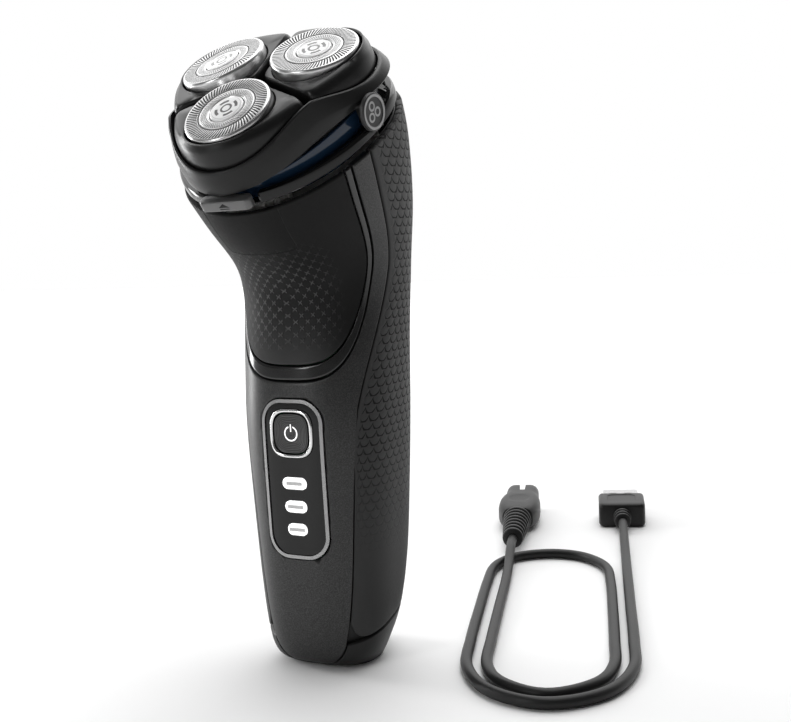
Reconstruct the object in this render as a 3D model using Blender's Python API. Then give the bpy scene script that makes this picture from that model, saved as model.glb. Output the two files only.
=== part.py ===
"""Rotary electric shaver with three flexing heads, and its charging cable.

The shaver stands upright on its foot: +Z is up, the front faces -Y, and the origin is the
middle of the foot. Lengths are in millimetres; MM turns them into Blender's metres.
"""
import math

import bmesh
import bpy
import numpy as np
from mathutils import Matrix, Vector

MM = 0.001
GAP = 0.3                 # clearance between pieces that touch
WALL = 1.8                # wall of the handle's shells

# Handle: each station is a cross-section, given by its front and back points (y, z),
# its half width, the exponent of its superellipse, and how much narrower its front is.
HANDLE_STATIONS = (
    ((-11.0, 0.0), (5.0, 0.0), 11.5, 2.6, 0.00),
    ((-14.4, 1.6), (7.0, 6.4), 14.0, 2.6, 0.00),
    ((-16.0, 6.5), (11.6, 14.6), 15.7, 2.6, 0.00),
    ((-16.9, 18.0), (14.6, 27.0), 17.0, 2.6, 0.00),
    ((-17.5, 38.0), (15.9, 43.0), 18.1, 2.6, 0.00),
    ((-17.8, 57.0), (16.9, 60.0), 18.9, 2.6, 0.00),
    ((-17.2, 72.0), (17.8, 79.0), 19.3, 2.5, 0.02),
    ((-16.2, 85.0), (18.3, 98.0), 20.0, 2.4, 0.07),
    ((-19.0, 92.0), (16.8, 114.5), 21.8, 2.3, 0.13),
    ((-29.4, 101.0), (12.3, 129.8), 24.4, 2.2, 0.17),
    ((-35.2, 107.5), (6.6, 139.2), 25.9, 2.2, 0.17),
)
SEAM_LOW = 43.0           # side seam of the front shell: degrees round the section
SEAM_HIGH = 79.5          # and beside the neck
BACK_ANGLE = 142.0        # back edge of the side grips
TRIM_ANGLE = 68.0         # outer edge of the U-shaped trim band
TRIM_WIDTH = 4.5          # width of the band, degrees at the sides
TRIM_LOW = 0.578          # lowest point of the band, as a share of the handle's stations
TRIM_HEIGHT = 0.022       # height of the band at its lowest point, same measure
GRIP_DEPTH = 1.2          # thickness of the side grips

# Head: a plane that leans forward, with three pods round its centre
HEAD_CENTRE = (0.0, -24.1, 137.4)
HEAD_TILT = 37.5
MODULE = 1.0
PINION_TEETH = 11
GEAR_TEETH = 17
POD_RADIUS = MODULE * (PINION_TEETH + GEAR_TEETH) / 2
POD_LEAN = 6.3            # each cap leans outwards
POD_ANGLES = {"front": -90.0, "right": 30.0, "left": 150.0}
POD_GAP = 1.5             # gap between neighbouring pods
CAP_RADIUS = 10.1
CAP_HEIGHT = 3.0
CAP_WALL = 0.6
HEAD_RADIUS = 24.7
HEAD_NARROW = 0.985       # the rim and the pods are a little narrower than they are deep
HEAD_WIDE = 1.03          # and the wall below the rim a little wider
HEAD_LOBE = 0.115         # how far the outline swells at the three pods
SKIRT_LOW = -12.5         # height of the skirt's lower edge, from the head plane
SKIRT_TOP = -7.7
SKIRT_SWEEP = 3.0         # how much higher the skirt's lower edge is at its two sides
RIM_RISE = 4.6            # how much higher the rim is beside the front pod
SKIRT_WALL = 2.2
CHAMBER_TOP = -13.3
CHAMBER_FLOOR = -18.8
COLLAR_LOW = -16.6
COLLAR_TOP = -14.2
COLLAR_INSET = 0.8        # how far the collar stands back from the handle's skin
HINGE_BACK = 25.4         # hinge pin of the head, in the head plane's own axes
HINGE_LOW = -13.5
PIN_RADIUS = 0.9
KNUCKLE_HALF = 3.4
EAR_RADIUS = 2.2
EAR_HALF = 1.1
EAR_MIDDLE = KNUCKLE_HALF + 1.5

# Drive
MOTOR_RADIUS = 7.6
MOTOR_LENGTH = 21.0
GEAR_TOP = -19.3
GEAR_THICKNESS = 2.0
SPINDLE_RADIUS = 1.1

# Status window and controls on the front
WINDOW_TOP = 64.6
WINDOW_LOW = 27.2
WINDOW_HALF = 8.15
WINDOW_CORNER = 5.6
BEZEL_WIDTH = 0.8
BUTTON_HEIGHT = 56.7      # height of the power button's centre
BUTTON_HALF = 0.5645 * WINDOW_HALF    # leaves glass on both sides of the button's ring
BUTTON_DEPTH = 1.9
RING_WIDTH = 0.8
LIGHTS = ((45.0, 3.2), (39.5, 2.9), (34.1, 2.6))   # height and half width of each light
LIGHT_HALF = 1.35

# Charging inlet in the slanted lower back
INLET = (11.6, 8.0, 10.5)
INLET_Y = 6.6

# Trimmer on the back
TRIMMER_HALF = 10.5
TRIMMER_LOW = 92.0
TRIMMER_HIGH = 118.0
TRIMMER_DEPTH = 3.6

# Charging cable
CABLE_RADIUS = 1.4

# Values that follow from the ones above, and smaller fitting sizes
SEAM_GAP = 1.2            # gap between the handle's skins, degrees round the section
TRIM_SHOULDER = 0.93      # where the sides of the U become straight
SHELL_TOP = 0.985
FRONT_LOW = 0.085         # lower edge of the front shell
GRIP_LOW = 0.20           # lower edge of the side grips
CAVITY_LOW = 0.12         # floor of the handle's cavity
WINDOW_MIDDLE = (WINDOW_TOP + WINDOW_LOW) / 2
SLEEVE = 1.2              # wall of the inlet's sleeve
RELEASE_HALF = 6.3
RELEASE_FRONT = -28.9     # front face and top of the release button, in the head's axes
RELEASE_TOP = -13.2
CHASSIS_HALF = 11.5
CHASSIS_Y = -11.0
CHASSIS_LOW = 16.0
CHASSIS_HIGH = 86.0
BATTERY_RADIUS = 7.2
BATTERY_LENGTH = 50.0
BATTERY_LOW = 24.0
PLATE_RADIUS = 20.5
SPINDLE_TOP = -4.4
RIM = 0.9                 # wall of the head frame's rim round the pods
POD_INSET = RIM + 0.4
POD_TOP = -1.5
POD_LOW = -7.4
POD_PIVOT = 23.5          # distance of a pod's tipping axis from the head's centre
POD_CORNER = 16           # higher is sharper
BADGE_RADIUS = 3.95
CUTTER_RADIUS = CAP_RADIUS - CAP_WALL - 0.5
BLADES = 9
RETAINER_TOP = -10.6
RETAINER_INSET = 4.0      # it stands clear inside the chamber's wall
BADGE_SIDE_RADIUS = 4.1
BADGE_SIDE_X = 25.25
BADGE_SIDE_BACK = -1.6
BADGE_SIDE_TURN = 9.0      # each badge looks a little forward
BADGE_SIDE_LOW = -11.8
BOSS_HALF = 2.5           # block under each side badge that holds it on the frame
BOSS_DEPTH = 1.6
TRIMMER_Y = 18.2
TRIMMER_LEAN = 5.0
TRIMMER_SWING = 1.0       # room below the trimmer for its corner as it swings out
SLIDER_HALF = 5.0
SLIDER_HEIGHT = 79.0
SLIDER_TRAVEL = 4.0
SLIDER_Y = 17.9

# The cable's layout on the floor: along, across and height of each point of its route
CABLE_START = (60.0, -18.0)
CABLE_TURN = 18.5
PLUG_RELIEF = 24.8
PLUG_HEIGHT = 4.7
PLUG_ALONG = 121.0
PLUG_ACROSS = -14.6
USB_RELIEF = 8.0
USB_SHELL = 12.5
USB_HEIGHT = 4.1
USB_ALONG = 143.5
USB_ACROSS = 19.6
RELIEF_CORE = 0.62
CABLE_ROUTE = (
    (121.0, -14.6, 4.7), (112.0, -14.6, 4.7), (100.0, -14.5, 2.4), (85.0, -14.5, 1.5),
    (62.0, -14.6, 1.5), (38.0, -14.6, 1.5), (22.0, -14.2, 1.5), (11.0, -10.0, 1.5),
    (4.8, 0.0, 1.5), (11.0, 10.4, 1.5), (22.0, 14.6, 1.5), (38.0, 15.0, 1.5),
    (62.0, 15.0, 1.5), (85.0, 14.8, 1.5), (101.0, 13.6, 1.5), (112.0, 7.0, 1.5),
    (115.6, -3.0, 1.5), (111.8, -13.0, 1.5), (102.0, -18.6, 1.5), (86.0, -19.6, 1.5),
    (62.0, -19.7, 1.5), (38.0, -19.6, 1.5), (20.0, -18.6, 1.5), (6.0, -12.0, 1.5),
    (0.0, 0.0, 1.5), (6.0, 12.4, 1.5), (20.0, 18.8, 1.5), (38.0, 19.6, 1.5),
    (62.0, 19.6, 1.5), (86.0, 19.6, 1.5), (110.0, 19.6, 1.6), (128.0, 19.6, 2.8),
    (143.5, 19.6, 4.1))


def clear_scene():
    for old in list(bpy.data.objects):
        bpy.data.objects.remove(old)


def material(name, colour, roughness=0.5, metallic=0.0, glow=0.0):
    """A Principled material, made once for each name."""
    found = bpy.data.materials.get(name)
    if found:
        return found
    made = bpy.data.materials.new(name)
    made.use_nodes = True
    shader = made.node_tree.nodes["Principled BSDF"]
    shader.inputs["Base Color"].default_value = (*colour, 1.0)
    shader.inputs["Roughness"].default_value = roughness
    shader.inputs["Metallic"].default_value = metallic
    if glow:
        shader.inputs["Emission Color"].default_value = (*colour, 1.0)
        shader.inputs["Emission Strength"].default_value = glow
    return made


SATIN = ("satin grey", (0.06, 0.06, 0.065), 0.35, 0.6)
RUBBER = ("soft rubber", (0.02, 0.02, 0.022), 0.8)
SHELL = ("matte black", (0.03, 0.03, 0.032), 0.55)
GLOSS = ("gloss black", (0.01, 0.01, 0.012), 0.12)
GREY = ("mid grey", (0.12, 0.12, 0.125), 0.5)
BLUE = ("chamber blue", (0.01, 0.025, 0.06), 0.15)
STEEL = ("bright steel", (0.75, 0.75, 0.77), 0.25, 1.0)
BRASS = ("brass", (0.6, 0.42, 0.16), 0.35, 1.0)
WHITE = ("white plastic", (0.8, 0.8, 0.78), 0.5)
BOARD = ("board green", (0.02, 0.12, 0.05), 0.5)
LIGHT = ("lit white", (1.0, 1.0, 1.0), 0.4, 0.0, 3.0)
CABLE = ("cable black", (0.02, 0.02, 0.02), 0.6)


def solid(name, points, faces, finish, smooth=True):
    """An object from points in millimetres and faces that look outwards."""
    mesh = bpy.data.meshes.new(name)
    mesh.from_pydata([tuple(p) for p in np.asarray(points, float) * MM], [], faces)
    work = bmesh.new()
    work.from_mesh(mesh)
    bmesh.ops.recalc_face_normals(work, faces=work.faces)
    work.to_mesh(mesh)
    work.free()
    if smooth:
        mesh.shade_smooth()
        mesh.set_sharp_from_angle(angle=math.radians(35))
    mesh.materials.append(material(*finish))
    made = bpy.data.objects.new(name, mesh)
    bpy.context.scene.collection.objects.link(made)
    return made


def skin_rings(rings, wrap):
    """Quads between rings of equal size; wrap joins the last ring to the first."""
    count, size = len(rings), len(rings[0])
    faces = []
    for i in range(count if wrap else count - 1):
        low, high = i * size, (i + 1) % count * size
        for j in range(size):
            k = (j + 1) % size
            faces.append((low + j, low + k, high + k, high + j))
    return faces


def loft(name, rings, finish, smooth=True):
    """A closed solid through rings, flat at both ends."""
    size = len(rings[0])
    last = (len(rings) - 1) * size
    faces = skin_rings(rings, False)
    faces.append(tuple(range(size)))
    faces.append(tuple(range(last, last + size)))
    return solid(name, np.concatenate(rings), faces, finish, smooth)


def hoop(name, rings, finish, smooth=True):
    """A closed solid with a hole through it: the rings run round its wall and meet."""
    return solid(name, np.concatenate(rings), skin_rings(rings, True), finish, smooth)


def slab(name, outer, inner, finish):
    """A curved plate between two grids of points of the same shape."""
    rows, columns = outer.shape[:2]
    edge = [(i, 0) for i in range(rows)]
    edge += [(rows - 1, j) for j in range(1, columns)]
    edge += [(i, columns - 1) for i in range(rows - 2, -1, -1)]
    edge += [(0, j) for j in range(columns - 2, 0, -1)]
    half = rows * columns
    faces = []
    for i in range(rows - 1):
        for j in range(columns - 1):
            a = i * columns + j
            faces.append((a, a + 1, a + columns + 1, a + columns))
            faces.append(tuple(half + k for k in (a, a + columns, a + columns + 1, a + 1)))
    for (i, j), (k, m) in zip(edge, edge[1:] + edge[:1]):
        a, b = i * columns + j, k * columns + m
        faces.append((a, b, half + b, half + a))
    points = np.concatenate((outer.reshape(-1, 3), inner.reshape(-1, 3)))
    return solid(name, points, faces, finish)


def boolean(target, tool, operation="DIFFERENCE"):
    """Cut, join or intersect target with tool, which stays as a hidden guide."""
    step = target.modifiers.new(operation.lower(), "BOOLEAN")
    step.operation = operation
    step.solver = "EXACT"
    step.object = tool
    tool.hide_render = True
    tool.display_type = "WIRE"


def outline(half_x, half_y, corner, count=4):
    """Points of a rounded rectangle, anticlockwise, count to each corner."""
    points = []
    for turn, (sx, sy) in enumerate(((1, 1), (-1, 1), (-1, -1), (1, -1))):
        for k in range(count):
            angle = math.radians(90 * (turn + k / (count - 1)))
            points.append((sx * (half_x - corner) + corner * math.cos(angle),
                           sy * (half_y - corner) + corner * math.sin(angle)))
    return np.array(points)


def round_outline(radius, count=32, phase=0.0):
    angle = np.arange(count) * 2 * np.pi / count + phase
    return np.stack((radius * np.cos(angle), radius * np.sin(angle)), 1)


def squircle(half, exponent=3.2, count=24):
    """A superellipse with equal half sizes."""
    angle = np.arange(count) * 2 * np.pi / count
    c, s = np.cos(angle), np.sin(angle)
    power = 2 / exponent
    return half * np.stack((np.sign(c) * abs(c) ** power, np.sign(s) * abs(s) ** power), 1)


def lift(flat, height):
    """Plan points raised to a height, or to one height each."""
    return np.column_stack((flat, np.broadcast_to(height, len(flat))))


def facing(flat, y, height):
    """Points drawn in the front view (x, z), placed at depth y round a height."""
    return np.column_stack((flat[:, 0], np.full(len(flat), y), flat[:, 1] + height))


# ---- the handle's surface -------------------------------------------------------------

def station_values(t):
    """The stations' eight numbers at t from 0 to 1, on a smooth curve through them."""
    table = np.array([(*f, *b, w, n, e) for f, b, w, n, e in HANDLE_STATIONS])
    count = len(table) - 1
    place = np.clip(np.asarray(t, float), 0, 1) * count
    i = np.minimum(place.astype(int), count - 1)
    u = (place - i)[..., None]
    slope = np.gradient(table, axis=0)
    a, b = table[i], table[i + 1]
    da, db = slope[i], slope[i + 1]
    return ((2 * u**3 - 3 * u**2 + 1) * a + (u**3 - 2 * u**2 + u) * da
            + (3 * u**2 - 2 * u**3) * b + (u**3 - u**2) * db)


def handle_point(t, angle, inset=0.0):
    """Point of the handle's skin: t up the handle, angle in degrees round from the front."""
    t, angle = np.broadcast_arrays(np.asarray(t, float), np.radians(angle))
    value = station_values(t)
    front, back = value[..., 0:2], value[..., 2:4]
    half_width, exponent, egg = value[..., 4], value[..., 5], value[..., 6]
    half_depth = np.linalg.norm(back - front, axis=-1) / 2
    s, c = np.sin(angle), np.cos(angle)
    power = 2 / exponent
    along = -np.sign(c) * abs(c) ** power
    x = (half_width - inset) * np.sign(s) * abs(s) ** power * (1 + egg * along)
    middle = (front + back) / 2
    reach = (back - front) / 2 * ((half_depth - inset) / half_depth)[..., None]
    yz = middle + reach * along[..., None]
    return np.concatenate((x[..., None], yz), -1)


def handle_ring(t, inset, count=32):
    return handle_point(t, np.arange(count) * 360 / count, inset)


def seam(t):
    """Angle of the side seam: it drops at the foot and swings out beside the neck."""
    swing = np.clip((t - 0.46) / 0.29, 0, 1)
    drop = np.clip((0.45 - t) / 0.3, 0, None) ** 1.5
    return SEAM_LOW + (SEAM_HIGH - SEAM_LOW) * swing**2 * (3 - 2 * swing) - 13 * drop


# ---- the head's axes ------------------------------------------------------------------

def head_matrix():
    """From the head plane's own axes (x, back-up, outward normal) to the world, in metres."""
    tilt = math.radians(HEAD_TILT)
    turn = Matrix.Rotation(tilt, 4, "X")
    return Matrix.Translation(Vector(HEAD_CENTRE) * MM) @ turn


def in_head(made):
    made.matrix_world = head_matrix() @ made.matrix_basis
    return made


def head_outline(inset=0.0, count=42, swell=HEAD_LOBE, wide=1.0):
    """The head's plan: a circle that swells towards each pod, widened along X."""
    angle = np.arange(count) * 2 * np.pi / count
    radius = (HEAD_RADIUS - inset) * (1 + swell * np.cos(3 * (angle + np.pi / 2)))
    return np.stack((wide * radius * np.cos(angle), radius * np.sin(angle)), 1)


def sweep(count):
    """How much higher the skirt and the chamber are at each angle: most at the two sides."""
    angle = np.arange(count) * 2 * np.pi / count
    return SKIRT_SWEEP * (0.5 + 0.5 * np.cos(2 * angle)) ** 0.7


def rim_rise(count):
    """How much higher the rim is at each angle: most between the front pod and its neighbours."""
    angle = np.arange(count) * 2 * np.pi / count
    front = np.clip(0.5 - np.sin(angle), 0, 1)
    return RIM_RISE * front * (0.5 - 0.5 * np.cos(3 * (angle + np.pi / 2))) ** 1.2


def pod_centre(which):
    angle = math.radians(POD_ANGLES[which])
    return np.array((POD_RADIUS * math.cos(angle), POD_RADIUS * math.sin(angle)))


def pod_frame(which, height=0.0):
    """Axes of a cap: at the pod's centre, leaning outwards; in the head's own axes."""
    angle = math.radians(POD_ANGLES[which])
    place = Matrix.Translation(Vector((*pod_centre(which), height)) * MM)
    return (place @ Matrix.Rotation(angle, 4, "Z")
            @ Matrix.Rotation(math.radians(POD_LEAN), 4, "Y") @ Matrix.Rotation(-angle, 4, "Z"))


# ---- handle pieces --------------------------------------------------------------------

def prism(name, flat, height, y_near=-40.0, y_far=-8.0):
    """A guide drawn in the front view round a height and extruded from front to back."""
    rings = (facing(flat, y_near, height), facing(flat, y_far, height))
    return loft(name, rings, SHELL, False)


def trim_line(grow, low, columns=19):
    """The U of the trim band: (angle, t) along it, widened by grow degrees."""
    phase = np.linspace(-np.pi / 2, np.pi / 2, columns)
    s, c = np.sin(phase), np.cos(phase)
    angle = (TRIM_ANGLE + grow) * np.sign(s) * abs(s) ** 0.72
    return angle, low + (TRIM_SHOULDER - low) * (1 - c**0.62)


def fill_trim(name, grow, low, t_high, outer, inner, finish, rows=8):
    """A plate that fills the U from its line up to t_high."""
    angle, t_low = trim_line(grow, low)
    v = np.linspace(0, 1, rows)[:, None]
    t = t_low + (t_high - t_low) * v
    angle = angle + 0 * v
    return slab(name, handle_point(t, angle, outer), handle_point(t, angle, inner), finish)


def make_trim_band():
    """Glossy band between the neck grip and the front shell."""
    a_out, t_out = trim_line(-SEAM_GAP, TRIM_LOW)
    a_in, t_in = trim_line(-TRIM_WIDTH, TRIM_LOW + TRIM_HEIGHT)
    a_out, a_in = (np.concatenate((a[:1], a, a[-1:])) for a in (a_out, a_in))
    t_out, t_in = (np.concatenate(([SHELL_TOP], t, [SHELL_TOP])) for t in (t_out, t_in))
    v = np.linspace(0, 1, 3)[:, None]
    angle, t = a_out + (a_in - a_out) * v, t_out + (t_in - t_out) * v
    return slab("trim_band", handle_point(t, angle, 0.1), handle_point(t, angle, GRIP_DEPTH), GLOSS)


def make_front_shell():
    """Satin lower front, open for the status window, with the U cut out of its top."""
    u = np.linspace(-1, 1, 15)[None, :]
    v = np.linspace(0, 1, 15)[:, None]
    low = FRONT_LOW + 0.10 * abs(u) ** 6
    t = low + (SHELL_TOP - low) * v
    angle = seam(t) * u
    made = slab("front_shell", handle_point(t, angle, 0.0), handle_point(t, angle, WALL), SATIN)
    boolean(made, fill_trim("front_shell_cut", 0.0, TRIM_LOW - 0.003, 1.0, -3.0, 4.0, SHELL))
    half = (WINDOW_HALF + GAP, (WINDOW_TOP - WINDOW_LOW) / 2 + GAP)
    opening = prism("front_shell_window_cut", outline(*half, WINDOW_CORNER + GAP), WINDOW_MIDDLE)
    boolean(made, opening)
    return made


def make_neck_grip():
    return fill_trim("neck_grip", -TRIM_WIDTH - SEAM_GAP, TRIM_LOW + TRIM_HEIGHT + 0.003,
                     SHELL_TOP, 0.0, GRIP_DEPTH, RUBBER)


def make_side_grip(side):
    """Textured panel on one side; side is 1 for +X and -1 for -X."""
    u = np.linspace(0, 1, 7)[None, :]
    v = np.linspace(0, 1, 14)[:, None]
    low = GRIP_LOW + 0.05 * (2 * u - 1) ** 6
    t = low + (SHELL_TOP - low) * v
    first = seam(t) + SEAM_GAP
    angle = first + (BACK_ANGLE - first) * u
    name = "side_grip_right" if side > 0 else "side_grip_left"
    outer, inner = handle_point(t, side * angle, 0.0), handle_point(t, side * angle, GRIP_DEPTH)
    return slab(name, outer, inner, SHELL)


def side_pocket(side):
    """Guide that makes room for a side grip in the back shell."""
    u = np.linspace(0, 1, 7)[None, :]
    v = np.linspace(0, 1, 14)[:, None]
    t = GRIP_LOW - 0.008 + (1.0 - GRIP_LOW + 0.008) * v + 0 * u
    first = seam(t) - 8
    angle = first + (BACK_ANGLE + SEAM_GAP - first) * u
    outer = handle_point(t, side * angle, -3.0)
    inner = handle_point(t, side * angle, GRIP_DEPTH + GAP)
    return slab("side_pocket_%d" % side, outer, inner, SHELL)


def make_back_shell():
    """Main shell: a tub open at the front, with its flat foot, inlet and trimmer openings."""
    climb = np.linspace(0, SHELL_TOP, 15)
    rings = [handle_ring(t, 0.0) for t in climb]
    rings += [handle_ring(t, WALL) for t in climb[::-1] if t > CAVITY_LOW]
    made = loft("back_shell", rings, SHELL)
    u = np.linspace(-1, 1, 15)[None, :]
    v = np.linspace(0, 1, 15)[:, None]
    low = FRONT_LOW - 0.006 + 0.10 * abs(u) ** 6
    t = low + (1.0 - low) * v
    angle = (seam(t) + SEAM_GAP) * u
    front = slab("back_shell_front_cut", handle_point(t, angle, -4.0), handle_point(t, angle, 4.5), SHELL)
    boolean(made, front)
    for side in (1, -1):
        boolean(made, side_pocket(side))
    sleeve = outline(INLET[0] / 2 + SLEEVE + GAP, INLET[1] / 2 + SLEEVE + GAP, 3.0)
    sleeve[:, 1] += INLET_Y
    boolean(made, loft("back_shell_inlet_cut", (lift(sleeve, -5), lift(sleeve, 20)), SHELL, False))
    boolean(made, on_back(trimmer_block("back_shell_trimmer_cut", GAP, 6.0, SHELL)))
    slot = rounded_block("back_shell_slider_cut", SLIDER_HALF + 0.5, 2.6, 6.0, 1.0, SHELL)
    slot.location = Vector((0, 17.5, SLIDER_HEIGHT + SLIDER_TRAVEL / 2)) * MM
    boolean(made, slot)
    return made


def rounded_block(name, half_x, half_y, half_z, corner, finish, smooth=True):
    """A block round its own centre, its plan corners rounded."""
    flat = outline(half_x, half_y, corner)
    return loft(name, (lift(flat, -half_z), lift(flat, half_z)), finish, smooth)


def make_collar():
    """Glossy collar round the top of the handle, notched for the release button."""
    low, high, inside = COLLAR_LOW, COLLAR_TOP, 2.4
    top = handle_ring(1.0, 0.0, 36)
    to_head = np.linalg.inv(np.array(head_matrix()))
    flat = (top * MM) @ to_head[:3, :3].T + to_head[:3, 3]
    plan = flat[:, :2] / MM
    middle = np.array((0.0, (plan[:, 1].min() + plan[:, 1].max()) / 2))

    def shrunk(inset):
        away = plan - middle
        size = np.linalg.norm(away, axis=1, keepdims=True)
        return middle + away * (1 - inset / size)

    edge = COLLAR_INSET
    rings = [lift(shrunk(edge), low), lift(shrunk(edge), (low + high) / 2),
             lift(shrunk(edge + 0.5), high), lift(shrunk(inside), high), lift(shrunk(inside), low)]
    made = in_head(hoop("body_collar", rings, GLOSS))
    notch = rounded_block("collar_notch", RELEASE_HALF + GAP, 4.0, 3.0, 0.8, SHELL)
    notch.location = Vector((0, RELEASE_FRONT + 2.0, COLLAR_LOW + 0.7 + 3.0)) * MM
    boolean(made, in_head(notch))
    back = rounded_block("collar_hinge_notch", KNUCKLE_HALF + 0.5, 4.2, 3.0, 0.5, SHELL)
    back.location = Vector((0, HINGE_BACK, COLLAR_LOW + 0.7 + 3.0)) * MM
    boolean(made, in_head(back))
    for side in (1, -1):
        ear = hinge_rod("collar_ear_%d" % side, EAR_RADIUS, side * EAR_MIDDLE, EAR_HALF, SHELL)
        boolean(made, ear, "UNION")
    boolean(made, hinge_rod("collar_pin_hole", PIN_RADIUS + GAP, 0.0, 9.0, SHELL))
    return made


def make_release():
    """Release button under the front of the head."""
    height = 2.4
    button = rounded_block("release_button", RELEASE_HALF, 1.5, height / 2, 1.2, GREY)
    button.location = Vector((0, RELEASE_FRONT + 1.5, RELEASE_TOP - height / 2)) * MM
    return in_head(button)


def window_plate(name, outer, inner, finish):
    """Plate of the handle's front skin, larger than the window."""
    u = np.linspace(-1, 1, 9)[None, :]
    v = np.linspace(0, 1, 5)[:, None]
    t = 0.22 + 0.36 * v + 0 * u
    angle = 52 * u + 0 * v
    return slab(name, handle_point(t, angle, outer), handle_point(t, angle, inner), finish)


def make_window():
    """Glossy status window in its bezel, with openings for the button and the lights."""
    half = (WINDOW_HALF, (WINDOW_TOP - WINDOW_LOW) / 2)
    bezel = window_plate("window_bezel", -0.15, 1.6, SATIN)
    boolean(bezel, prism("bezel_outer", outline(*half, WINDOW_CORNER), WINDOW_MIDDLE), "INTERSECT")
    inner = tuple(h - BEZEL_WIDTH for h in half)
    boolean(bezel, prism("bezel_inner", outline(*inner, WINDOW_CORNER - BEZEL_WIDTH), WINDOW_MIDDLE))
    inner = tuple(h - GAP for h in inner)
    window = window_plate("status_window", 0.15, 1.6, GLOSS)
    shape = outline(*inner, WINDOW_CORNER - BEZEL_WIDTH - GAP)
    boolean(window, prism("window_outer", shape, WINDOW_MIDDLE), "INTERSECT")
    boolean(window, prism("window_button", squircle(BUTTON_HALF + RING_WIDTH + 2 * GAP), BUTTON_HEIGHT))
    for k, (height, half_width) in enumerate(LIGHTS):
        hole = outline(half_width + GAP, LIGHT_HALF + GAP, LIGHT_HALF)
        boolean(window, prism("window_light_%d" % k, hole, height))
    return bezel, window


def front_y(height):
    """Depth y of the handle's front centre line at a height."""
    t = np.linspace(0, 0.7, 200)
    line = handle_point(t, 0.0)
    return float(np.interp(height, line[:, 2], line[:, 1]))


def make_power_button():
    face = front_y(BUTTON_HEIGHT)
    depths = ((face + BUTTON_DEPTH, 0.0), (face + 0.3, 0.0), (face - 0.1, 0.35))
    rings = [facing(squircle(BUTTON_HALF - inset), y, BUTTON_HEIGHT) for y, inset in depths]
    button = loft("power_button", rings, GREY)
    inner, outer = BUTTON_HALF + GAP, BUTTON_HALF + GAP + RING_WIDTH
    path = ((outer, 1.4), (outer, 0.1), (outer - 0.3, -0.2), (inner + 0.1, -0.1), (inner, 1.4))
    rings = [facing(squircle(half), face + y, BUTTON_HEIGHT) for half, y in path]
    return button, hoop("power_button_ring", rings, STEEL)


def make_lights():
    made = []
    for k, (height, half_width) in enumerate(LIGHTS):
        flat = outline(half_width, LIGHT_HALF, LIGHT_HALF - 0.05)
        face = front_y(height)
        rings = (facing(flat, face + 1.8, height), facing(flat, face + 0.1, height))
        made.append(loft("charge_light_%d" % (k + 1), rings, LIGHT))
    return made


def handle_form(name, inset):
    """The whole handle as one solid, a guide for pieces that follow its outside."""
    return loft(name, [handle_ring(t, inset) for t in np.linspace(0, 1, 22)], SHELL)


def make_inlet():
    """Charging inlet: a sleeve in the foot with a deep recess, and two pins."""
    outer = outline(INLET[0] / 2 + SLEEVE, INLET[1] / 2 + SLEEVE, 2.8)
    outer[:, 1] += INLET_Y
    recess = outline(INLET[0] / 2, INLET[1] / 2, 2.0)
    recess[:, 1] += INLET_Y
    made = loft("charging_inlet", (lift(outer, 0.2), lift(outer, INLET[2] + 2.5)), SHELL)
    boolean(made, handle_form("inlet_form", 0.1), "INTERSECT")
    boolean(made, loft("inlet_recess", (lift(recess, -5), lift(recess, INLET[2])), SHELL, False))
    pins = []
    for side, word in ((1, "right"), (-1, "left")):
        flat = round_outline(0.8, 12)
        flat[:, 0] += side * 2.6
        flat[:, 1] += INLET_Y
        rings = (lift(flat, INLET[2] - GAP), lift(flat, INLET[2] - 6.0))
        pins.append(loft("inlet_pin_" + word, rings, BRASS))
    return made, pins


# ---- inside the handle ----------------------------------------------------------------

def make_inside():
    """Chassis channel, battery with its end caps, circuit board and switch."""
    wide, deep, wall = CHASSIS_HALF, 13.0, 1.3
    channel = np.array(((-wide, deep), (-wide, 0), (wide, 0), (wide, deep), (wide - wall, deep),
                        (wide - wall, wall), (wall - wide, wall), (wall - wide, deep)))
    channel[:, 1] += CHASSIS_Y
    chassis = loft("chassis", (lift(channel, CHASSIS_LOW), lift(channel, CHASSIS_HIGH)), SHELL, False)
    cell = round_outline(BATTERY_RADIUS, 24)
    cell[:, 1] += CHASSIS_Y + wall + GAP + BATTERY_RADIUS
    battery = loft("battery", (lift(cell, BATTERY_LOW), lift(cell, BATTERY_LOW + BATTERY_LENGTH)), GREY)
    board = rounded_block("circuit_board", wide - 1.0, 0.6, 30.0, 0.3, BOARD, False)
    board.location = Vector((0, CHASSIS_Y - 1.2, 48)) * MM
    switch = rounded_block("power_switch", 2.4, 1.0, 2.4, 0.4, BRASS, False)
    reach = CHASSIS_Y - 1.8 - 1.3
    switch.location = Vector((0, reach, BUTTON_HEIGHT)) * MM
    return chassis, battery, board, switch


# ---- drive ----------------------------------------------------------------------------

def gear_ring(teeth, phase, shrink=0.0):
    """Outline of a gear with short teeth, with its first tooth at phase (radians)."""
    pitch = 2 * np.pi / teeth
    radius = MODULE * teeth / 2
    root, tip = radius - 0.85 * MODULE - shrink, radius + 0.35 * MODULE - shrink
    shape = ((-0.24, root), (-0.12, tip), (0.12, tip), (0.24, root))
    angle = phase + pitch * (np.arange(teeth)[:, None] + [a for a, _ in shape]).ravel()
    size = np.tile([r for _, r in shape], teeth)
    return np.stack((size * np.cos(angle), size * np.sin(angle)), 1)


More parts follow.
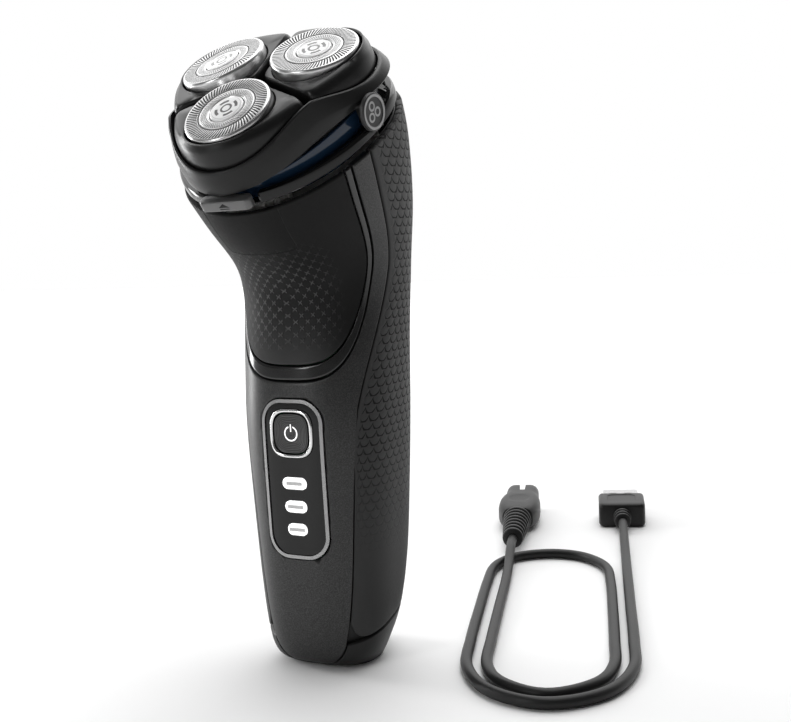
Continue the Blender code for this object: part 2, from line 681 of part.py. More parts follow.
def make_drive():
    """Motor, its mount plate, the pinion, and a gear with a spindle for each pod."""
    plate_top = GEAR_TOP - GEAR_THICKNESS - 1.3
    plate = hoop("gear_plate", [lift(round_outline(r, 32), z) for r, z in (
        (PLATE_RADIUS, plate_top - 1.2), (PLATE_RADIUS, plate_top),
        (1.9, plate_top), (1.9, plate_top - 1.2))], WHITE)
    motor_top = plate_top - 1.2 - GAP
    motor = loft("motor", [lift(round_outline(r, 28), z) for r, z in (
        (MOTOR_RADIUS - 0.6, motor_top - MOTOR_LENGTH), (MOTOR_RADIUS, motor_top - MOTOR_LENGTH + 0.6),
        (MOTOR_RADIUS, motor_top))], STEEL)
    teeth = gear_ring(PINION_TEETH, 0.0)
    shaft = round_outline(1.0, len(teeth))
    pinion = loft("motor_pinion", (lift(shaft, motor_top + GAP), lift(shaft, GEAR_TOP - GEAR_THICKNESS),
                                   lift(teeth, GEAR_TOP - GEAR_THICKNESS), lift(teeth, GEAR_TOP)), BRASS)
    gears, spindles = [], []
    for which, degrees in POD_ANGLES.items():
        toward = math.radians(degrees)
        share = (toward * PINION_TEETH / (2 * math.pi)) % 1
        phase = toward + math.pi + (0.5 + share) * 2 * math.pi / GEAR_TEETH
        ring = gear_ring(GEAR_TEETH, phase)
        bore = round_outline(SPINDLE_RADIUS + GAP, len(ring), phase)
        low = GEAR_TOP - GEAR_THICKNESS
        gear = hoop("drive_gear_" + which, (lift(ring, low), lift(ring, GEAR_TOP),
                                            lift(bore, GEAR_TOP), lift(bore, low)), WHITE)
        heights = ((SPINDLE_RADIUS, low - 0.9), (SPINDLE_RADIUS, SPINDLE_TOP - 0.5),
                   (SPINDLE_RADIUS - 0.4, SPINDLE_TOP))
        spindle = loft("coupling_spindle_" + which,
                       [lift(round_outline(r, 12), z) for r, z in heights], STEEL)
        for made in (gear, spindle):
            made.location = Vector((*pod_centre(which), 0)) * MM
            in_head(made)
        gears.append(gear)
        spindles.append(spindle)
    for made in (plate, motor, pinion):
        in_head(made)
    return plate, motor, pinion, gears, spindles


# ---- head -----------------------------------------------------------------------------

def make_chamber():
    """Hair chamber: a cup under the head, with a hole for each spindle."""
    wide, narrow = 1.8, 4.0
    rings = [lift(head_outline(wide + 1.2, 36, 0.02), CHAMBER_FLOOR),
             lift(head_outline(wide, 36, 0.03), COLLAR_LOW + 0.2),
             lift(head_outline(wide, 36, 0.03), CHAMBER_TOP + sweep(36)),
             lift(head_outline(wide + 1.0, 36, 0.03), CHAMBER_TOP + sweep(36)),
             lift(head_outline(narrow, 36, 0.02), CHAMBER_FLOOR + 1.0)]
    made = in_head(loft("hair_chamber", rings, BLUE))
    for which in POD_ANGLES:
        flat = round_outline(SPINDLE_RADIUS + 0.9, 16) + pod_centre(which)
        hole = (lift(flat, CHAMBER_FLOOR - 3), lift(flat, CHAMBER_FLOOR + 3))
        boolean(made, in_head(loft("chamber_hole_" + which, hole, SHELL, False)))
    return made


def make_head_frame():
    """Ring with a skirt that carries the pods; a knuckle at its back takes the hinge pin."""
    low, rise = SKIRT_LOW + sweep(42), rim_rise(42)
    top, inner = SKIRT_TOP + 0.7 + rise, SKIRT_TOP - 1.0
    path = ((-0.2, 1.0, low), (0.0, HEAD_WIDE, inner + 0.5 * rise), (0.45, HEAD_NARROW, top),
            (RIM, HEAD_NARROW, top), (RIM, HEAD_NARROW, inner), (SKIRT_WALL, 1.0, low))
    rings = [lift(head_outline(inset, wide=wide), height) for inset, wide, height in path]
    made = in_head(hoop("head_frame", rings, SHELL))
    bridge = rounded_block("knuckle_bridge", KNUCKLE_HALF - 0.2, 2.3, 1.3, 0.4, SHELL, False)
    bridge.location = Vector((0, HINGE_BACK - 2.2, SKIRT_LOW + 0.9)) * MM
    boolean(made, in_head(bridge), "UNION")
    boolean(made, hinge_rod("knuckle", 2.0, 0.0, KNUCKLE_HALF, SHELL), "UNION")
    boolean(made, hinge_rod("knuckle_hole", PIN_RADIUS + GAP, 0.0, 9.0, SHELL))
    for side in (1, -1):
        boss = rounded_block("badge_boss_%d" % side, BOSS_HALF, BOSS_HALF, BOSS_DEPTH / 2, 0.8, SHELL, False)
        boss.location = Vector((-0.5 * side, 0, -0.05 - BOSS_DEPTH / 2)) * MM
        boss.matrix_world = badge_matrix(side) @ boss.matrix_basis
        boolean(made, boss, "UNION")
    return made


def make_hinge_pin():
    """Pin through the head's knuckle and the collar's two ears."""
    return hinge_rod("head_hinge_pin", PIN_RADIUS, 0.0, 6.0, STEEL)


def hinge_rod(name, radius, middle, half, finish):
    """A rod on the head's hinge axis, half its length to each side of its middle."""
    turn = Matrix.Rotation(math.radians(90), 4, "Y")
    place = Matrix.Translation(Vector((middle, HINGE_BACK, HINGE_LOW)) * MM)
    flat = round_outline(radius, 20)
    made = loft(name, (lift(flat, -half), lift(flat, half)), finish)
    made.matrix_world = head_matrix() @ place @ turn
    return made


def pod_reach(which, angles, inset_side, inset_out):
    """Distance from the pod's centre to its edge: the gap lines and the head's outline."""
    centre = pod_centre(which)
    middle = math.radians(POD_ANGLES[which])
    way = np.stack((np.cos(angles), np.sin(angles)), 1)
    near, far = np.zeros(len(angles)), np.full(len(angles), 40.0)
    for _ in range(30):
        half = (near + far) / 2
        point = centre + way * half[:, None]
        x, y = point[:, 0] / HEAD_NARROW, point[:, 1]
        edge = (HEAD_RADIUS - inset_out) * (1 + HEAD_LOBE * np.cos(3 * (np.arctan2(y, x) + np.pi / 2)))
        inside = np.hypot(x, y) < edge
        near, far = np.where(inside, half, near), np.where(inside, far, half)
    reaches = [near]
    for side in (1, -1):
        normal_angle = middle + side * math.radians(150)
        normal = np.array((math.cos(normal_angle), math.sin(normal_angle)))
        room = -centre @ normal - POD_GAP / 2 - inset_side
        toward = way @ normal
        reaches.append(np.where(toward > 1e-6, room / np.maximum(toward, 1e-6), 1e6))
    power = -POD_CORNER
    return sum(np.minimum(r, 200.0) ** power for r in reaches) ** (1 / power)


def make_pod(which):
    """One flexing pod: it fills its third of the head and holds its cap in a round hole."""
    count = 36
    angles = math.radians(POD_ANGLES[which]) + np.arange(count) * 2 * np.pi / count
    centre = pod_centre(which)
    way = np.stack((np.cos(angles), np.sin(angles)), 1)
    outside = POD_INSET
    hole = CAP_RADIUS + 0.35
    rings = []
    for side, out, height in ((0.0, outside, POD_LOW), (0.0, outside, POD_LOW + 1.6),
                              (0.05, outside + 0.4, POD_TOP - 1.4), (0.25, outside + 1.2, POD_TOP - 0.3),
                              (0.45, outside + 1.9, POD_TOP)):
        reach = np.maximum(pod_reach(which, angles, side, out), hole + 0.4)
        rings.append(lift(centre + way * reach[:, None], height))
    rings.append(lift(centre + way * hole, POD_TOP))
    rings.append(lift(centre + way * hole, POD_LOW))
    return in_head(hoop("pod_" + which, rings, GLOSS))


def on_pod(made, which):
    made.matrix_world = head_matrix() @ pod_frame(which) @ made.matrix_basis
    return made


def make_cap(which):
    """Guard cap: a thin metal cup, open in the middle for its centre badge."""
    inner = CAP_RADIUS - CAP_WALL
    path = ((CAP_RADIUS, -CAP_HEIGHT), (CAP_RADIUS, -0.35), (CAP_RADIUS - 0.35, 0.0),
            (BADGE_RADIUS + GAP, 0.0), (BADGE_RADIUS + GAP, -0.6), (inner, -0.6), (inner, -CAP_HEIGHT))
    cap = hoop("guard_cap_" + which, [lift(round_outline(r, 28), z) for r, z in path], STEEL)
    path = ((BADGE_RADIUS, -0.6), (BADGE_RADIUS, 0.0), (BADGE_RADIUS - 0.3, 0.15))
    badge = loft("cap_badge_" + which, [lift(round_outline(r, 28), z) for r, z in path], STEEL)
    return on_pod(cap, which), on_pod(badge, which)


def make_cutter(which):
    """Rotating cutter: nine blades on a disc, with a hollow hub for the spindle."""
    count = BLADES * 4
    notch = np.where(np.arange(count) % 4 < 2, 1.0, 0.86)[:, None]
    path = ((2.6, -3.2, 0), (2.6, -6.0, 0), (3.4, -6.0, 0), (3.4, -2.6, 0), (CUTTER_RADIUS, -2.2, 1),
            (CUTTER_RADIUS, -1.0, 1))
    rings = [lift(round_outline(r, count) * (notch if cut else 1.0), z) for r, z, cut in path]
    return on_pod(loft("cutter_" + which, rings, STEEL), which)


def make_retaining_frame():
    """Plate that keeps the cutters in the pods, with a hole for each hub."""
    flat = head_outline(RETAINER_INSET, 36, 0.03)
    made = in_head(loft("retaining_frame", (lift(flat, RETAINER_TOP - 1.0), lift(flat, RETAINER_TOP)),
                        GREY))
    for which in POD_ANGLES:
        hole = round_outline(4.4, 24) + pod_centre(which)
        rings = (lift(hole, RETAINER_TOP - 3), lift(hole, RETAINER_TOP + 3))
        boolean(made, in_head(loft("retainer_hole_" + which, rings, SHELL, False)))
    return made


def badge_matrix(side):
    """Axes of a side badge: at the middle of its back, its own Z pointing out of the head."""
    turn = Matrix.Rotation(math.radians(-BADGE_SIDE_TURN * side), 4, "Z")
    turn = turn @ Matrix.Rotation(math.radians(90 * side), 4, "Y")
    spot = Vector((side * BADGE_SIDE_X, BADGE_SIDE_BACK, BADGE_SIDE_LOW))
    return head_matrix() @ Matrix.Translation(spot * MM) @ turn


def make_side_badge(side):
    """Round cover at the side of the head, a raised ring round a flat disc."""
    path = ((0.0, BADGE_SIDE_RADIUS), (0.7, BADGE_SIDE_RADIUS), (0.9, BADGE_SIDE_RADIUS - 0.3),
            (0.9, BADGE_SIDE_RADIUS - 0.9), (0.7, BADGE_SIDE_RADIUS - 1.1))
    rings = [lift(round_outline(r, 24), z) for z, r in path]
    made = loft("side_badge_right" if side > 0 else "side_badge_left", rings, GREY)
    made.matrix_world = badge_matrix(side)
    return made


# ---- trimmer on the back --------------------------------------------------------------

def back_matrix():
    """From the trimmer's own axes (x, out, up) to the world, on the sloping back."""
    lean = Matrix.Rotation(math.radians(TRIMMER_LEAN), 4, "X")
    return Matrix.Translation(Vector((0, TRIMMER_Y, TRIMMER_LOW)) * MM) @ lean


def on_back(made):
    """Place a piece drawn in the trimmer's own axes."""
    made.matrix_world = back_matrix() @ made.matrix_basis
    return made


def trimmer_block(name, grow, stand, finish):
    """Block of the trimmer, grown by grow on every side and standing out by stand."""
    half, high = TRIMMER_HALF + grow, TRIMMER_HIGH - TRIMMER_LOW + grow
    flat = np.array(((-half, -TRIMMER_DEPTH - grow), (half, -TRIMMER_DEPTH - grow),
                     (half, stand), (-half, stand)))
    return loft(name, (lift(flat, -grow - TRIMMER_SWING), lift(flat, high)), finish, False)


def make_trimmer():
    """Pop-up trimmer: its body, comb, blade and tray, and the slider that frees it."""
    long = TRIMMER_HIGH - TRIMMER_LOW
    half, deep = TRIMMER_HALF, TRIMMER_DEPTH
    body = np.array(((-half, -deep), (half, -deep), (half, -0.5), (half - 0.8, 0.3),
                     (0.8 - half, 0.3), (-half, -0.5)))
    housing = loft("trimmer_body", (lift(body, 0.0), lift(body, long - 4.0)), SHELL)
    comb = comb_block("trimmer_comb", half - 0.6, -1.4, -0.5, long - 3.6, long - 0.4)
    blade = comb_block("trimmer_blade", half - 1.8, -2.8, -1.9, long - 3.6, long - 0.8)
    tray = rounded_block("trimmer_tray", half + 1.6, 0.5, long / 2 + 1.0, 0.3, SHELL, False)
    tray.location = Vector((0, -deep - GAP - 0.9, long / 2)) * MM
    for made in (housing, comb, blade, tray):
        on_back(made)
    slider = rounded_block("trimmer_slider", SLIDER_HALF, 1.3, 2.6, 0.8, GREY)
    slider.location = Vector((0, SLIDER_Y, SLIDER_HEIGHT)) * MM
    return housing, comb, blade, tray, slider


def comb_block(name, half, y_low, y_high, z_low, z_high, teeth=13):
    """A plate with a row of square teeth along its upper edge."""
    pitch = 2 * half / (2 * teeth - 1)
    top, root = z_high, z_high - 1.6
    points = [(-half, z_low)]
    for k in range(teeth):
        left = -half + 2 * k * pitch
        if k:
            points.append((left, root))
        points += [(left, top), (left + pitch, top)]
        if k < teeth - 1:
            points.append((left + pitch, root))
    points.append((half, z_low))
    flat = np.array(points)
    return loft(name, (facing(flat, y_low, 0), facing(flat, y_high, 0)), STEEL, False)


# ---- charging cable -------------------------------------------------------------------

def cable_spot(along, across, height):
    """From the cable's own layout (along, across, height) to the world."""
    turn = math.radians(CABLE_TURN)
    d, p = (-math.sin(turn), math.cos(turn)), (math.cos(turn), math.sin(turn))
    return (CABLE_START[0] + along * d[0] + across * p[0],
            CABLE_START[1] + along * d[1] + across * p[1], height)


def smooth_path(route, count):
    """Points read at equal steps from a smooth curve through the route's points."""
    route = np.asarray(route, float)
    slope = np.gradient(route, axis=0)
    u = np.linspace(0, 1, 12, endpoint=False)[:, None]
    pieces = [(2 * u**3 - 3 * u**2 + 1) * a + (u**3 - 2 * u**2 + u) * da
              + (3 * u**2 - 2 * u**3) * b + (u**3 - u**2) * db
              for a, b, da, db in zip(route, route[1:], slope, slope[1:])]
    fine = np.concatenate(pieces + [route[-1:]])
    run = np.concatenate(([0], np.cumsum(np.linalg.norm(np.diff(fine, axis=0), axis=1))))
    at = np.linspace(0, run[-1], count)
    return np.stack([np.interp(at, run, fine[:, k]) for k in range(3)], 1)


def make_cable():
    """The cable: two long loops laid on the floor, from the plug's relief to the other's."""
    route = [cable_spot(*point) for point in CABLE_ROUTE]
    curve = bpy.data.curves.new("charging_cable", "CURVE")
    curve.dimensions = "3D"
    path = smooth_path(route, 78) * MM
    line = curve.splines.new("POLY")
    line.points.add(len(path) - 1)
    for point, spot in zip(line.points, path):
        point.co = (*spot, 1.0)
    curve.bevel_depth = CABLE_RADIUS * MM
    curve.bevel_resolution = 2
    curve.use_fill_caps = True
    curve.materials.append(material(*CABLE))
    made = bpy.data.objects.new("charging_cable", curve)
    bpy.context.scene.collection.objects.link(made)
    return made


def on_cable(made, along, across, height):
    """Turn a piece drawn along +Z so that +Z points away along the cable's layout."""
    lay = Matrix.Rotation(math.radians(-90), 4, "X")
    turn = Matrix.Rotation(math.radians(CABLE_TURN), 4, "Z")
    made.matrix_world = Matrix.Translation(Vector(cable_spot(along, across, height)) * MM) @ turn @ lay
    return made


def relief(name, length, ribs, wide, narrow):
    """Ribbed strain relief: a tapered core with rings that get smaller towards its end."""
    rings = []
    for k in range(ribs):
        share = k / max(ribs - 1, 1)
        big = narrow + (wide - narrow) * share
        core = big * RELIEF_CORE
        low, step = length * k / ribs, length / ribs
        rings += [lift(round_outline(r, 12), z) for r, z in (
            (big, low + 0.05 * step), (big, low + 0.6 * step), (core, low + 0.75 * step))]
    rings.append(lift(round_outline(core, 12), length))
    return loft(name, rings, CABLE)


def make_charging_plug():
    """Two-pin plug with a slotted nose, a body with a thumb recess, and its relief."""
    along, across = PLUG_ALONG, PLUG_ACROSS
    strain = relief("plug_relief", PLUG_RELIEF + 1.0, 8, 4.6, 3.2)
    on_cable(strain, along + GAP, across, PLUG_HEIGHT)
    sections = ((5.0, 3.6, 0.0), (6.9, 4.4, 8.0), (6.9, 4.4, 16.0), (5.6, 4.1, 24.0), (5.6, 4.1, 34.0))
    rings = [lift(outline(x, y, min(y - 0.2, 3.0)), z) for x, y, z in sections]
    plug = loft("charging_plug", rings, CABLE)
    on_cable(plug, along + GAP + PLUG_RELIEF, across, PLUG_HEIGHT)
    boolean(plug, strain, "UNION")
    slot = rounded_block("plug_slot", 1.05, 6.0, 5.0, 0.3, CABLE)
    spot = along + GAP + PLUG_RELIEF + 31.0
    boolean(plug, on_cable(slot, spot, across, PLUG_HEIGHT))
    return plug


def make_usb_plug():
    """Flat plug: a metal shell round a tongue, an overmould and its short relief."""
    along, across = USB_ALONG, USB_ACROSS
    strain = relief("usb_relief", USB_RELIEF + 1.0, 3, 2.9, 2.6)
    on_cable(strain, along + GAP, across, USB_HEIGHT)
    start = along + GAP + USB_RELIEF
    flat = outline(7.6, 4.0, 1.4)
    sections = ((0.9, 0.0), (1.0, 1.2), (1.0, 16.3))
    over = loft("usb_overmould", [lift(flat * k, z) for k, z in sections], CABLE)
    on_cable(over, start, across, USB_HEIGHT)
    boolean(over, strain, "UNION")
    start += 16.3 + GAP
    outer, inner = outline(6.0, 2.25, 0.5, 3), outline(5.65, 1.9, 0.3, 3)
    shell = loft("usb_shell", (lift(outer, 0), lift(outer, USB_SHELL), lift(inner, USB_SHELL),
                               lift(inner, 1.0)), STEEL, False)
    on_cable(shell, start, across, USB_HEIGHT)
    tongue = rounded_block("usb_tongue", 5.3, 0.7, USB_SHELL / 2 - 1.2, 0.2, WHITE, False)
    on_cable(tongue, start + USB_SHELL / 2 + 0.4, across, USB_HEIGHT - 0.7)
    return over, shell, tongue


# ---- joints ---------------------------------------------------------------------------

def pivot(name, spot, children, matrix=None):
    """An empty on a joint's axis, with its pieces parented to it where they are."""
    empty = bpy.data.objects.new(name, None)
    bpy.context.scene.collection.objects.link(empty)
    empty.empty_display_size = 5 * MM
    empty.matrix_world = (matrix or Matrix()) @ Matrix.Translation(Vector(spot) * MM)
    bpy.context.view_layer.update()
    for child in children:
        child.parent = empty
        child.matrix_parent_inverse = empty.matrix_world.inverted()
    return empty


def main():
    clear_scene()
    make_back_shell()
    make_front_shell()
    make_trim_band()
    make_neck_grip()
    for side in (1, -1):
        make_side_grip(side)
    make_collar()
    release = make_release()
    make_window()
    button, _ = make_power_button()
    make_lights()
    make_inlet()
    make_inside()
    _, _, pinion, gears, spindles = make_drive()
    make_chamber()
    frame = make_head_frame()
    make_hinge_pin()
    retainer = make_retaining_frame()
    badges = [make_side_badge(side) for side in (1, -1)]
    head = head_matrix()
    hinge = pivot("head_hinge", (0, HINGE_BACK, HINGE_LOW), [frame, retainer, *badges], head)
    for which, gear, spindle in zip(POD_ANGLES, gears, spindles):
        spot = pod_centre(which)
        pivot("gear_axis_" + which, (*spot, GEAR_TOP), [gear, spindle], head)
        edge = spot * (POD_PIVOT / POD_RADIUS)
        pod = make_pod(which)
        cap, badge = make_cap(which)
        cutter = make_cutter(which)
        spin = pivot("cutter_axis_" + which, (0, 0, 0), [cutter], head @ pod_frame(which))
        tip = pivot("pod_axis_" + which, (*edge, POD_LOW), [pod, cap, badge, spin], head)
        tip.parent = hinge
        tip.matrix_parent_inverse = hinge.matrix_world.inverted()
    pivot("motor_axis", (0, 0, GEAR_TOP), [pinion], head)
    pivot("release_slide", (0, RELEASE_FRONT, RELEASE_TOP), [release], head)
    pivot("power_slide", (0, front_y(BUTTON_HEIGHT), BUTTON_HEIGHT), [button])
    body, comb, blade, _, slider = make_trimmer()
    pivot("trimmer_hinge", (0, -TRIMMER_DEPTH / 2, 1.5), [body, comb, blade], back_matrix())
    pivot("slider_axis", (0, SLIDER_Y, SLIDER_HEIGHT), [slider])
    make_cable()
    make_charging_plug()
    make_usb_plug()


main()
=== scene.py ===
"""Looks of the electric shaver and its charging cable: surfaces, materials, floor, light, camera."""
import math

import bmesh
import bpy
import numpy as np
from mathutils import Matrix, Vector


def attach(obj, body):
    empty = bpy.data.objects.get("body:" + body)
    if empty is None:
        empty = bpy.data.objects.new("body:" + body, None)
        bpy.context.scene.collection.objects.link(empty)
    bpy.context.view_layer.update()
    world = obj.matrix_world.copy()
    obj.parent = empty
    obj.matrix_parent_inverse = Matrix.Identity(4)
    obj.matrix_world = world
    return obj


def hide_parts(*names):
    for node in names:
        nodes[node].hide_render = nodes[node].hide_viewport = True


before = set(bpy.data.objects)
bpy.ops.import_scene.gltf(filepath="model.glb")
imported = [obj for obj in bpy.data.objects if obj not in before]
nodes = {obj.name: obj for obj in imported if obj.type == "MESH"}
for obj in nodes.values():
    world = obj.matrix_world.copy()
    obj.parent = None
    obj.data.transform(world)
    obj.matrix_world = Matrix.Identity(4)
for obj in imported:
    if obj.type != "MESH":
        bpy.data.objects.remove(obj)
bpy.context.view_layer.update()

# ---- sizes, in millimetres -------------------------------------------------------------

MM = 0.001
STATIONS = np.array((
    (-11.0, 0.0, 5.0, 0.0, 11.5, 2.6, 0.00),
    (-14.4, 1.6, 7.0, 6.4, 14.0, 2.6, 0.00),
    (-16.0, 6.5, 11.6, 14.6, 15.7, 2.6, 0.00),
    (-16.9, 18.0, 14.6, 27.0, 17.0, 2.6, 0.00),
    (-17.5, 38.0, 15.9, 43.0, 18.1, 2.6, 0.00),
    (-17.8, 57.0, 16.9, 60.0, 18.9, 2.6, 0.00),
    (-17.2, 72.0, 17.8, 79.0, 19.3, 2.5, 0.02),
    (-16.2, 85.0, 18.3, 98.0, 20.0, 2.4, 0.07),
    (-19.0, 92.0, 16.8, 114.5, 21.8, 2.3, 0.13),
    (-29.4, 101.0, 12.3, 129.8, 24.4, 2.2, 0.17),
    (-35.2, 107.5, 6.6, 139.2, 25.9, 2.2, 0.17)))
SEAM_LOW, SEAM_HIGH = 43.0, 79.5
BACK_ANGLE = 142.0
TRIM_ANGLE, TRIM_WIDTH, TRIM_LOW, TRIM_HEIGHT, TRIM_SHOULDER = 68.0, 4.5, 0.578, 0.022, 0.93
SEAM_GAP, SHELL_TOP, FRONT_LOW, GRIP_LOW, CAVITY_LOW = 1.2, 0.985, 0.085, 0.20, 0.12
WALL, GRIP_DEPTH, GAP = 1.8, 1.2, 0.3
HEAD_CENTRE = np.array((0.0, -24.1, 137.4))
HEAD_TILT = math.radians(37.5)
POD_RADIUS, POD_LEAN = 14.0, math.radians(6.3)
POD_ANGLES = {"front": -90.0, "right": 30.0, "left": 150.0}
CAP_RADIUS, CAP_HEIGHT, CAP_WALL, BADGE_RADIUS = 10.1, 3.0, 0.6, 3.95
HEAD_RADIUS, HEAD_LOBE, HEAD_NARROW, HEAD_WIDE = 24.7, 0.115, 0.985, 1.03
SKIRT_LOW, SKIRT_TOP, SKIRT_WALL, RIM = -12.5, -7.7, 2.2, 0.9
SKIRT_SWEEP, RIM_RISE, POD_LOW = 3.0, 4.6, -7.4
CHAMBER_TOP, CHAMBER_FLOOR = -13.3, -18.8
COLLAR_LOW, COLLAR_TOP, COLLAR_INSET = -16.6, -14.2, 0.8
HINGE_BACK, HINGE_LOW, PIN_RADIUS, KNUCKLE_HALF = 25.4, -13.5, 0.9, 3.4
WINDOW_TOP, WINDOW_LOW, WINDOW_HALF, WINDOW_CORNER, BEZEL_WIDTH = 64.6, 27.2, 8.15, 5.6, 0.8
WINDOW_MIDDLE = (WINDOW_TOP + WINDOW_LOW) / 2
BUTTON_HEIGHT, BUTTON_HALF, BUTTON_DEPTH, RING_WIDTH = 56.7, 4.6, 1.9, 0.8
LIGHTS = ((45.0, 3.2), (39.5, 2.9), (34.1, 2.6))
LIGHT_HALF = 1.35
INLET_Y, SLEEVE, INLET_CORNER, INLET_ENDS = 6.6, (7.0, 5.2), 3.0, (-5.0, 20.0)
TRIMMER_Y, TRIMMER_LOW, TRIMMER_LEAN = 18.2, 92.0, math.radians(5.0)
TRIMMER_ROOM = ((-10.8, -3.9), (10.8, -3.9), (10.8, 6.0), (-10.8, 6.0))
TRIMMER_ROOM_ENDS = (-1.3, 26.3)
SLIDER_ROOM, SLIDER_Y, SLIDER_ENDS = (5.5, 2.6, 1.0), 17.5, (75.0, 87.0)
BOSS_HALF, BOSS_CORNER, BOSS_UP, BOSS_ENDS = 2.5, 0.8, 0.5, (-1.65, -0.05)
NOTCH_ENDS = (0.7, 6.7)
EAR_RADIUS, EAR_HALF, PIN_ROOM, KNUCKLE_RADIUS = 2.2, 1.1, 9.0, 2.0
WORLD_FRONT = 0.1
RELEASE_HALF, RELEASE_FRONT, RELEASE_TOP = 6.3, -28.9, -13.2
BADGE_SIDE_RADIUS, BADGE_SIDE_X, BADGE_SIDE_BACK, BADGE_SIDE_LOW = 4.1, 25.25, -1.6, -11.8
BADGE_SIDE_TURN = math.radians(9.0)
CABLE_START, CABLE_TURN, CABLE_RADIUS = np.array((60.0, -18.0)), math.radians(18.5), 1.4
PLUG_ALONG, PLUG_ACROSS, PLUG_HEIGHT, PLUG_RELIEF = 121.0, -14.6, 4.7, 24.8
USB_ALONG, USB_ACROSS, USB_HEIGHT, USB_RELIEF, USB_SHELL = 143.5, 19.6, 4.1, 8.0, 12.5
CABLE_ROUTE = (
    (121.0, -14.6, 4.7), (112.0, -14.6, 4.7), (100.0, -14.5, 2.4), (85.0, -14.5, 1.5),
    (62.0, -14.6, 1.5), (38.0, -14.6, 1.5), (22.0, -14.2, 1.5), (11.0, -10.0, 1.5),
    (4.8, 0.0, 1.5), (11.0, 10.4, 1.5), (22.0, 14.6, 1.5), (38.0, 15.0, 1.5),
    (62.0, 15.0, 1.5), (85.0, 14.8, 1.5), (101.0, 13.6, 1.5), (112.0, 7.0, 1.5),
    (115.6, -3.0, 1.5), (111.8, -13.0, 1.5), (102.0, -18.6, 1.5), (86.0, -19.6, 1.5),
    (62.0, -19.7, 1.5), (38.0, -19.6, 1.5), (20.0, -18.6, 1.5), (6.0, -12.0, 1.5),
    (0.0, 0.0, 1.5), (6.0, 12.4, 1.5), (20.0, 18.8, 1.5), (38.0, 19.6, 1.5),
    (62.0, 19.6, 1.5), (86.0, 19.6, 1.5), (110.0, 19.6, 1.6), (128.0, 19.6, 2.8),
    (143.5, 19.6, 4.1))


# ---- camera ----------------------------------------------------------------------------

def make_camera():
    """The view: from the front right, a little above the handle's middle."""
    data = bpy.data.cameras.new("camera")
    data.lens, data.sensor_width, data.clip_start = 54.9, 36.0, 0.01
    camera = bpy.data.objects.new("camera", data)
    bpy.context.scene.collection.objects.link(camera)
    right = Vector((0.88437, 0.46440, -0.04719))
    up = Vector((-0.00991, 0.11976, 0.99275))
    turn = Matrix((right, up, right.cross(up))).transposed()
    camera.matrix_world = Matrix.Translation((0.149899, -0.246962, 0.102613)) @ turn.to_4x4()
    bpy.context.scene.camera = camera


# ---- shader arithmetic -----------------------------------------------------------------

class Wire:
    """A shader socket that can be used in ordinary arithmetic."""

    def __init__(self, tree, socket=None):
        self.tree, self.socket = tree, socket

    def node(self, kind, inputs=(), output=0, **settings):
        """Add a node, set it up, feed its inputs and return one of its outputs."""
        made = self.tree.nodes.new(kind)
        for name, value in settings.items():
            setattr(made, name, value)
        for key, value in dict(inputs).items():
            self.feed(made.inputs[key], value)
        return Wire(self.tree, made.outputs[output])

    def feed(self, socket, value):
        if isinstance(value, Wire):
            self.tree.links.new(value.socket, socket)
        else:
            socket.default_value = value

    def math(self, operation, *others):
        return self.node("ShaderNodeMath", enumerate((self, *others)), operation=operation)

    def __add__(self, other):
        return self.math("ADD", other)

    def __sub__(self, other):
        return self.math("SUBTRACT", other)

    def __mul__(self, other):
        return self.math("MULTIPLY", other)

    def __truediv__(self, other):
        return self.math("DIVIDE", other)

    def __pow__(self, other):
        return self.math("POWER", other)

    def __rsub__(self, other):
        return self.node("ShaderNodeMath", {0: other, 1: self}, operation="SUBTRACT")

    def __rtruediv__(self, other):
        return self.node("ShaderNodeMath", {0: other, 1: self}, operation="DIVIDE")

    __radd__, __rmul__ = __add__, __mul__

    def rise(self, low, high):
        """0 below low and 1 above high, smooth between."""
        return self.node("ShaderNodeMapRange", {0: self, 1: low, 2: high}, interpolation_type="SMOOTHSTEP")

    def line(self, middle, half, soft):
        """1 on a line at middle, half wide to each side, with soft edges."""
        return 1.0 - (self - middle).math("ABSOLUTE").rise(half, half + soft)

    def mix(self, low, high):
        """A colour between low and high by this wire."""
        return self.node("ShaderNodeMix", {0: self, 6: low, 7: high}, output=2, data_type="RGBA")

    def parts(self):
        """The first two numbers of a vector."""
        made = self.tree.nodes.new("ShaderNodeSeparateXYZ")
        self.tree.links.new(self.socket, made.inputs[0])
        return Wire(self.tree, made.outputs[0]), Wire(self.tree, made.outputs[1])


def grey(value, tint=(1.0, 1.0, 1.0)):
    return (value * tint[0], value * tint[1], value * tint[2], 1.0)


class Look:
    """A material: constants on the shader's own sockets, patterns plugged in by name."""

    def __init__(self, name, colour, roughness=0.5, **constants):
        self.made = bpy.data.materials.new(name)
        self.made.use_nodes = True
        self.tree = self.made.node_tree
        self.shader = self.tree.nodes["Principled BSDF"]
        self.start = Wire(self.tree)
        self.shader.inputs["Base Color"].default_value = colour
        self.shader.inputs["Roughness"].default_value = roughness
        for name, value in constants.items():
            self.shader.inputs[name.replace("_", " ").title().replace("Ior", "IOR")].default_value = value

    def put(self, name, wire):
        self.start.feed(self.shader.inputs[name], wire)
        return self

    def grain(self, scale, detail=4.0):
        """Fine noise that stays with the piece."""
        place = self.start.node("ShaderNodeTexCoord", output=3)
        return self.start.node("ShaderNodeTexNoise", {"Vector": place, "Scale": scale, "Detail": detail})

    def chart(self):
        """The piece's own flat coordinates, in millimetres."""
        return self.start.node("ShaderNodeUVMap", uv_map="chart").parts()

    def bump(self, height, distance, strength=1.0):
        """Height is from 0 to 1; distance is the real depth in millimetres."""
        inputs = {"Height": height, "Distance": distance * MM, "Strength": strength}
        return self.put("Normal", self.start.node("ShaderNodeBump", inputs))


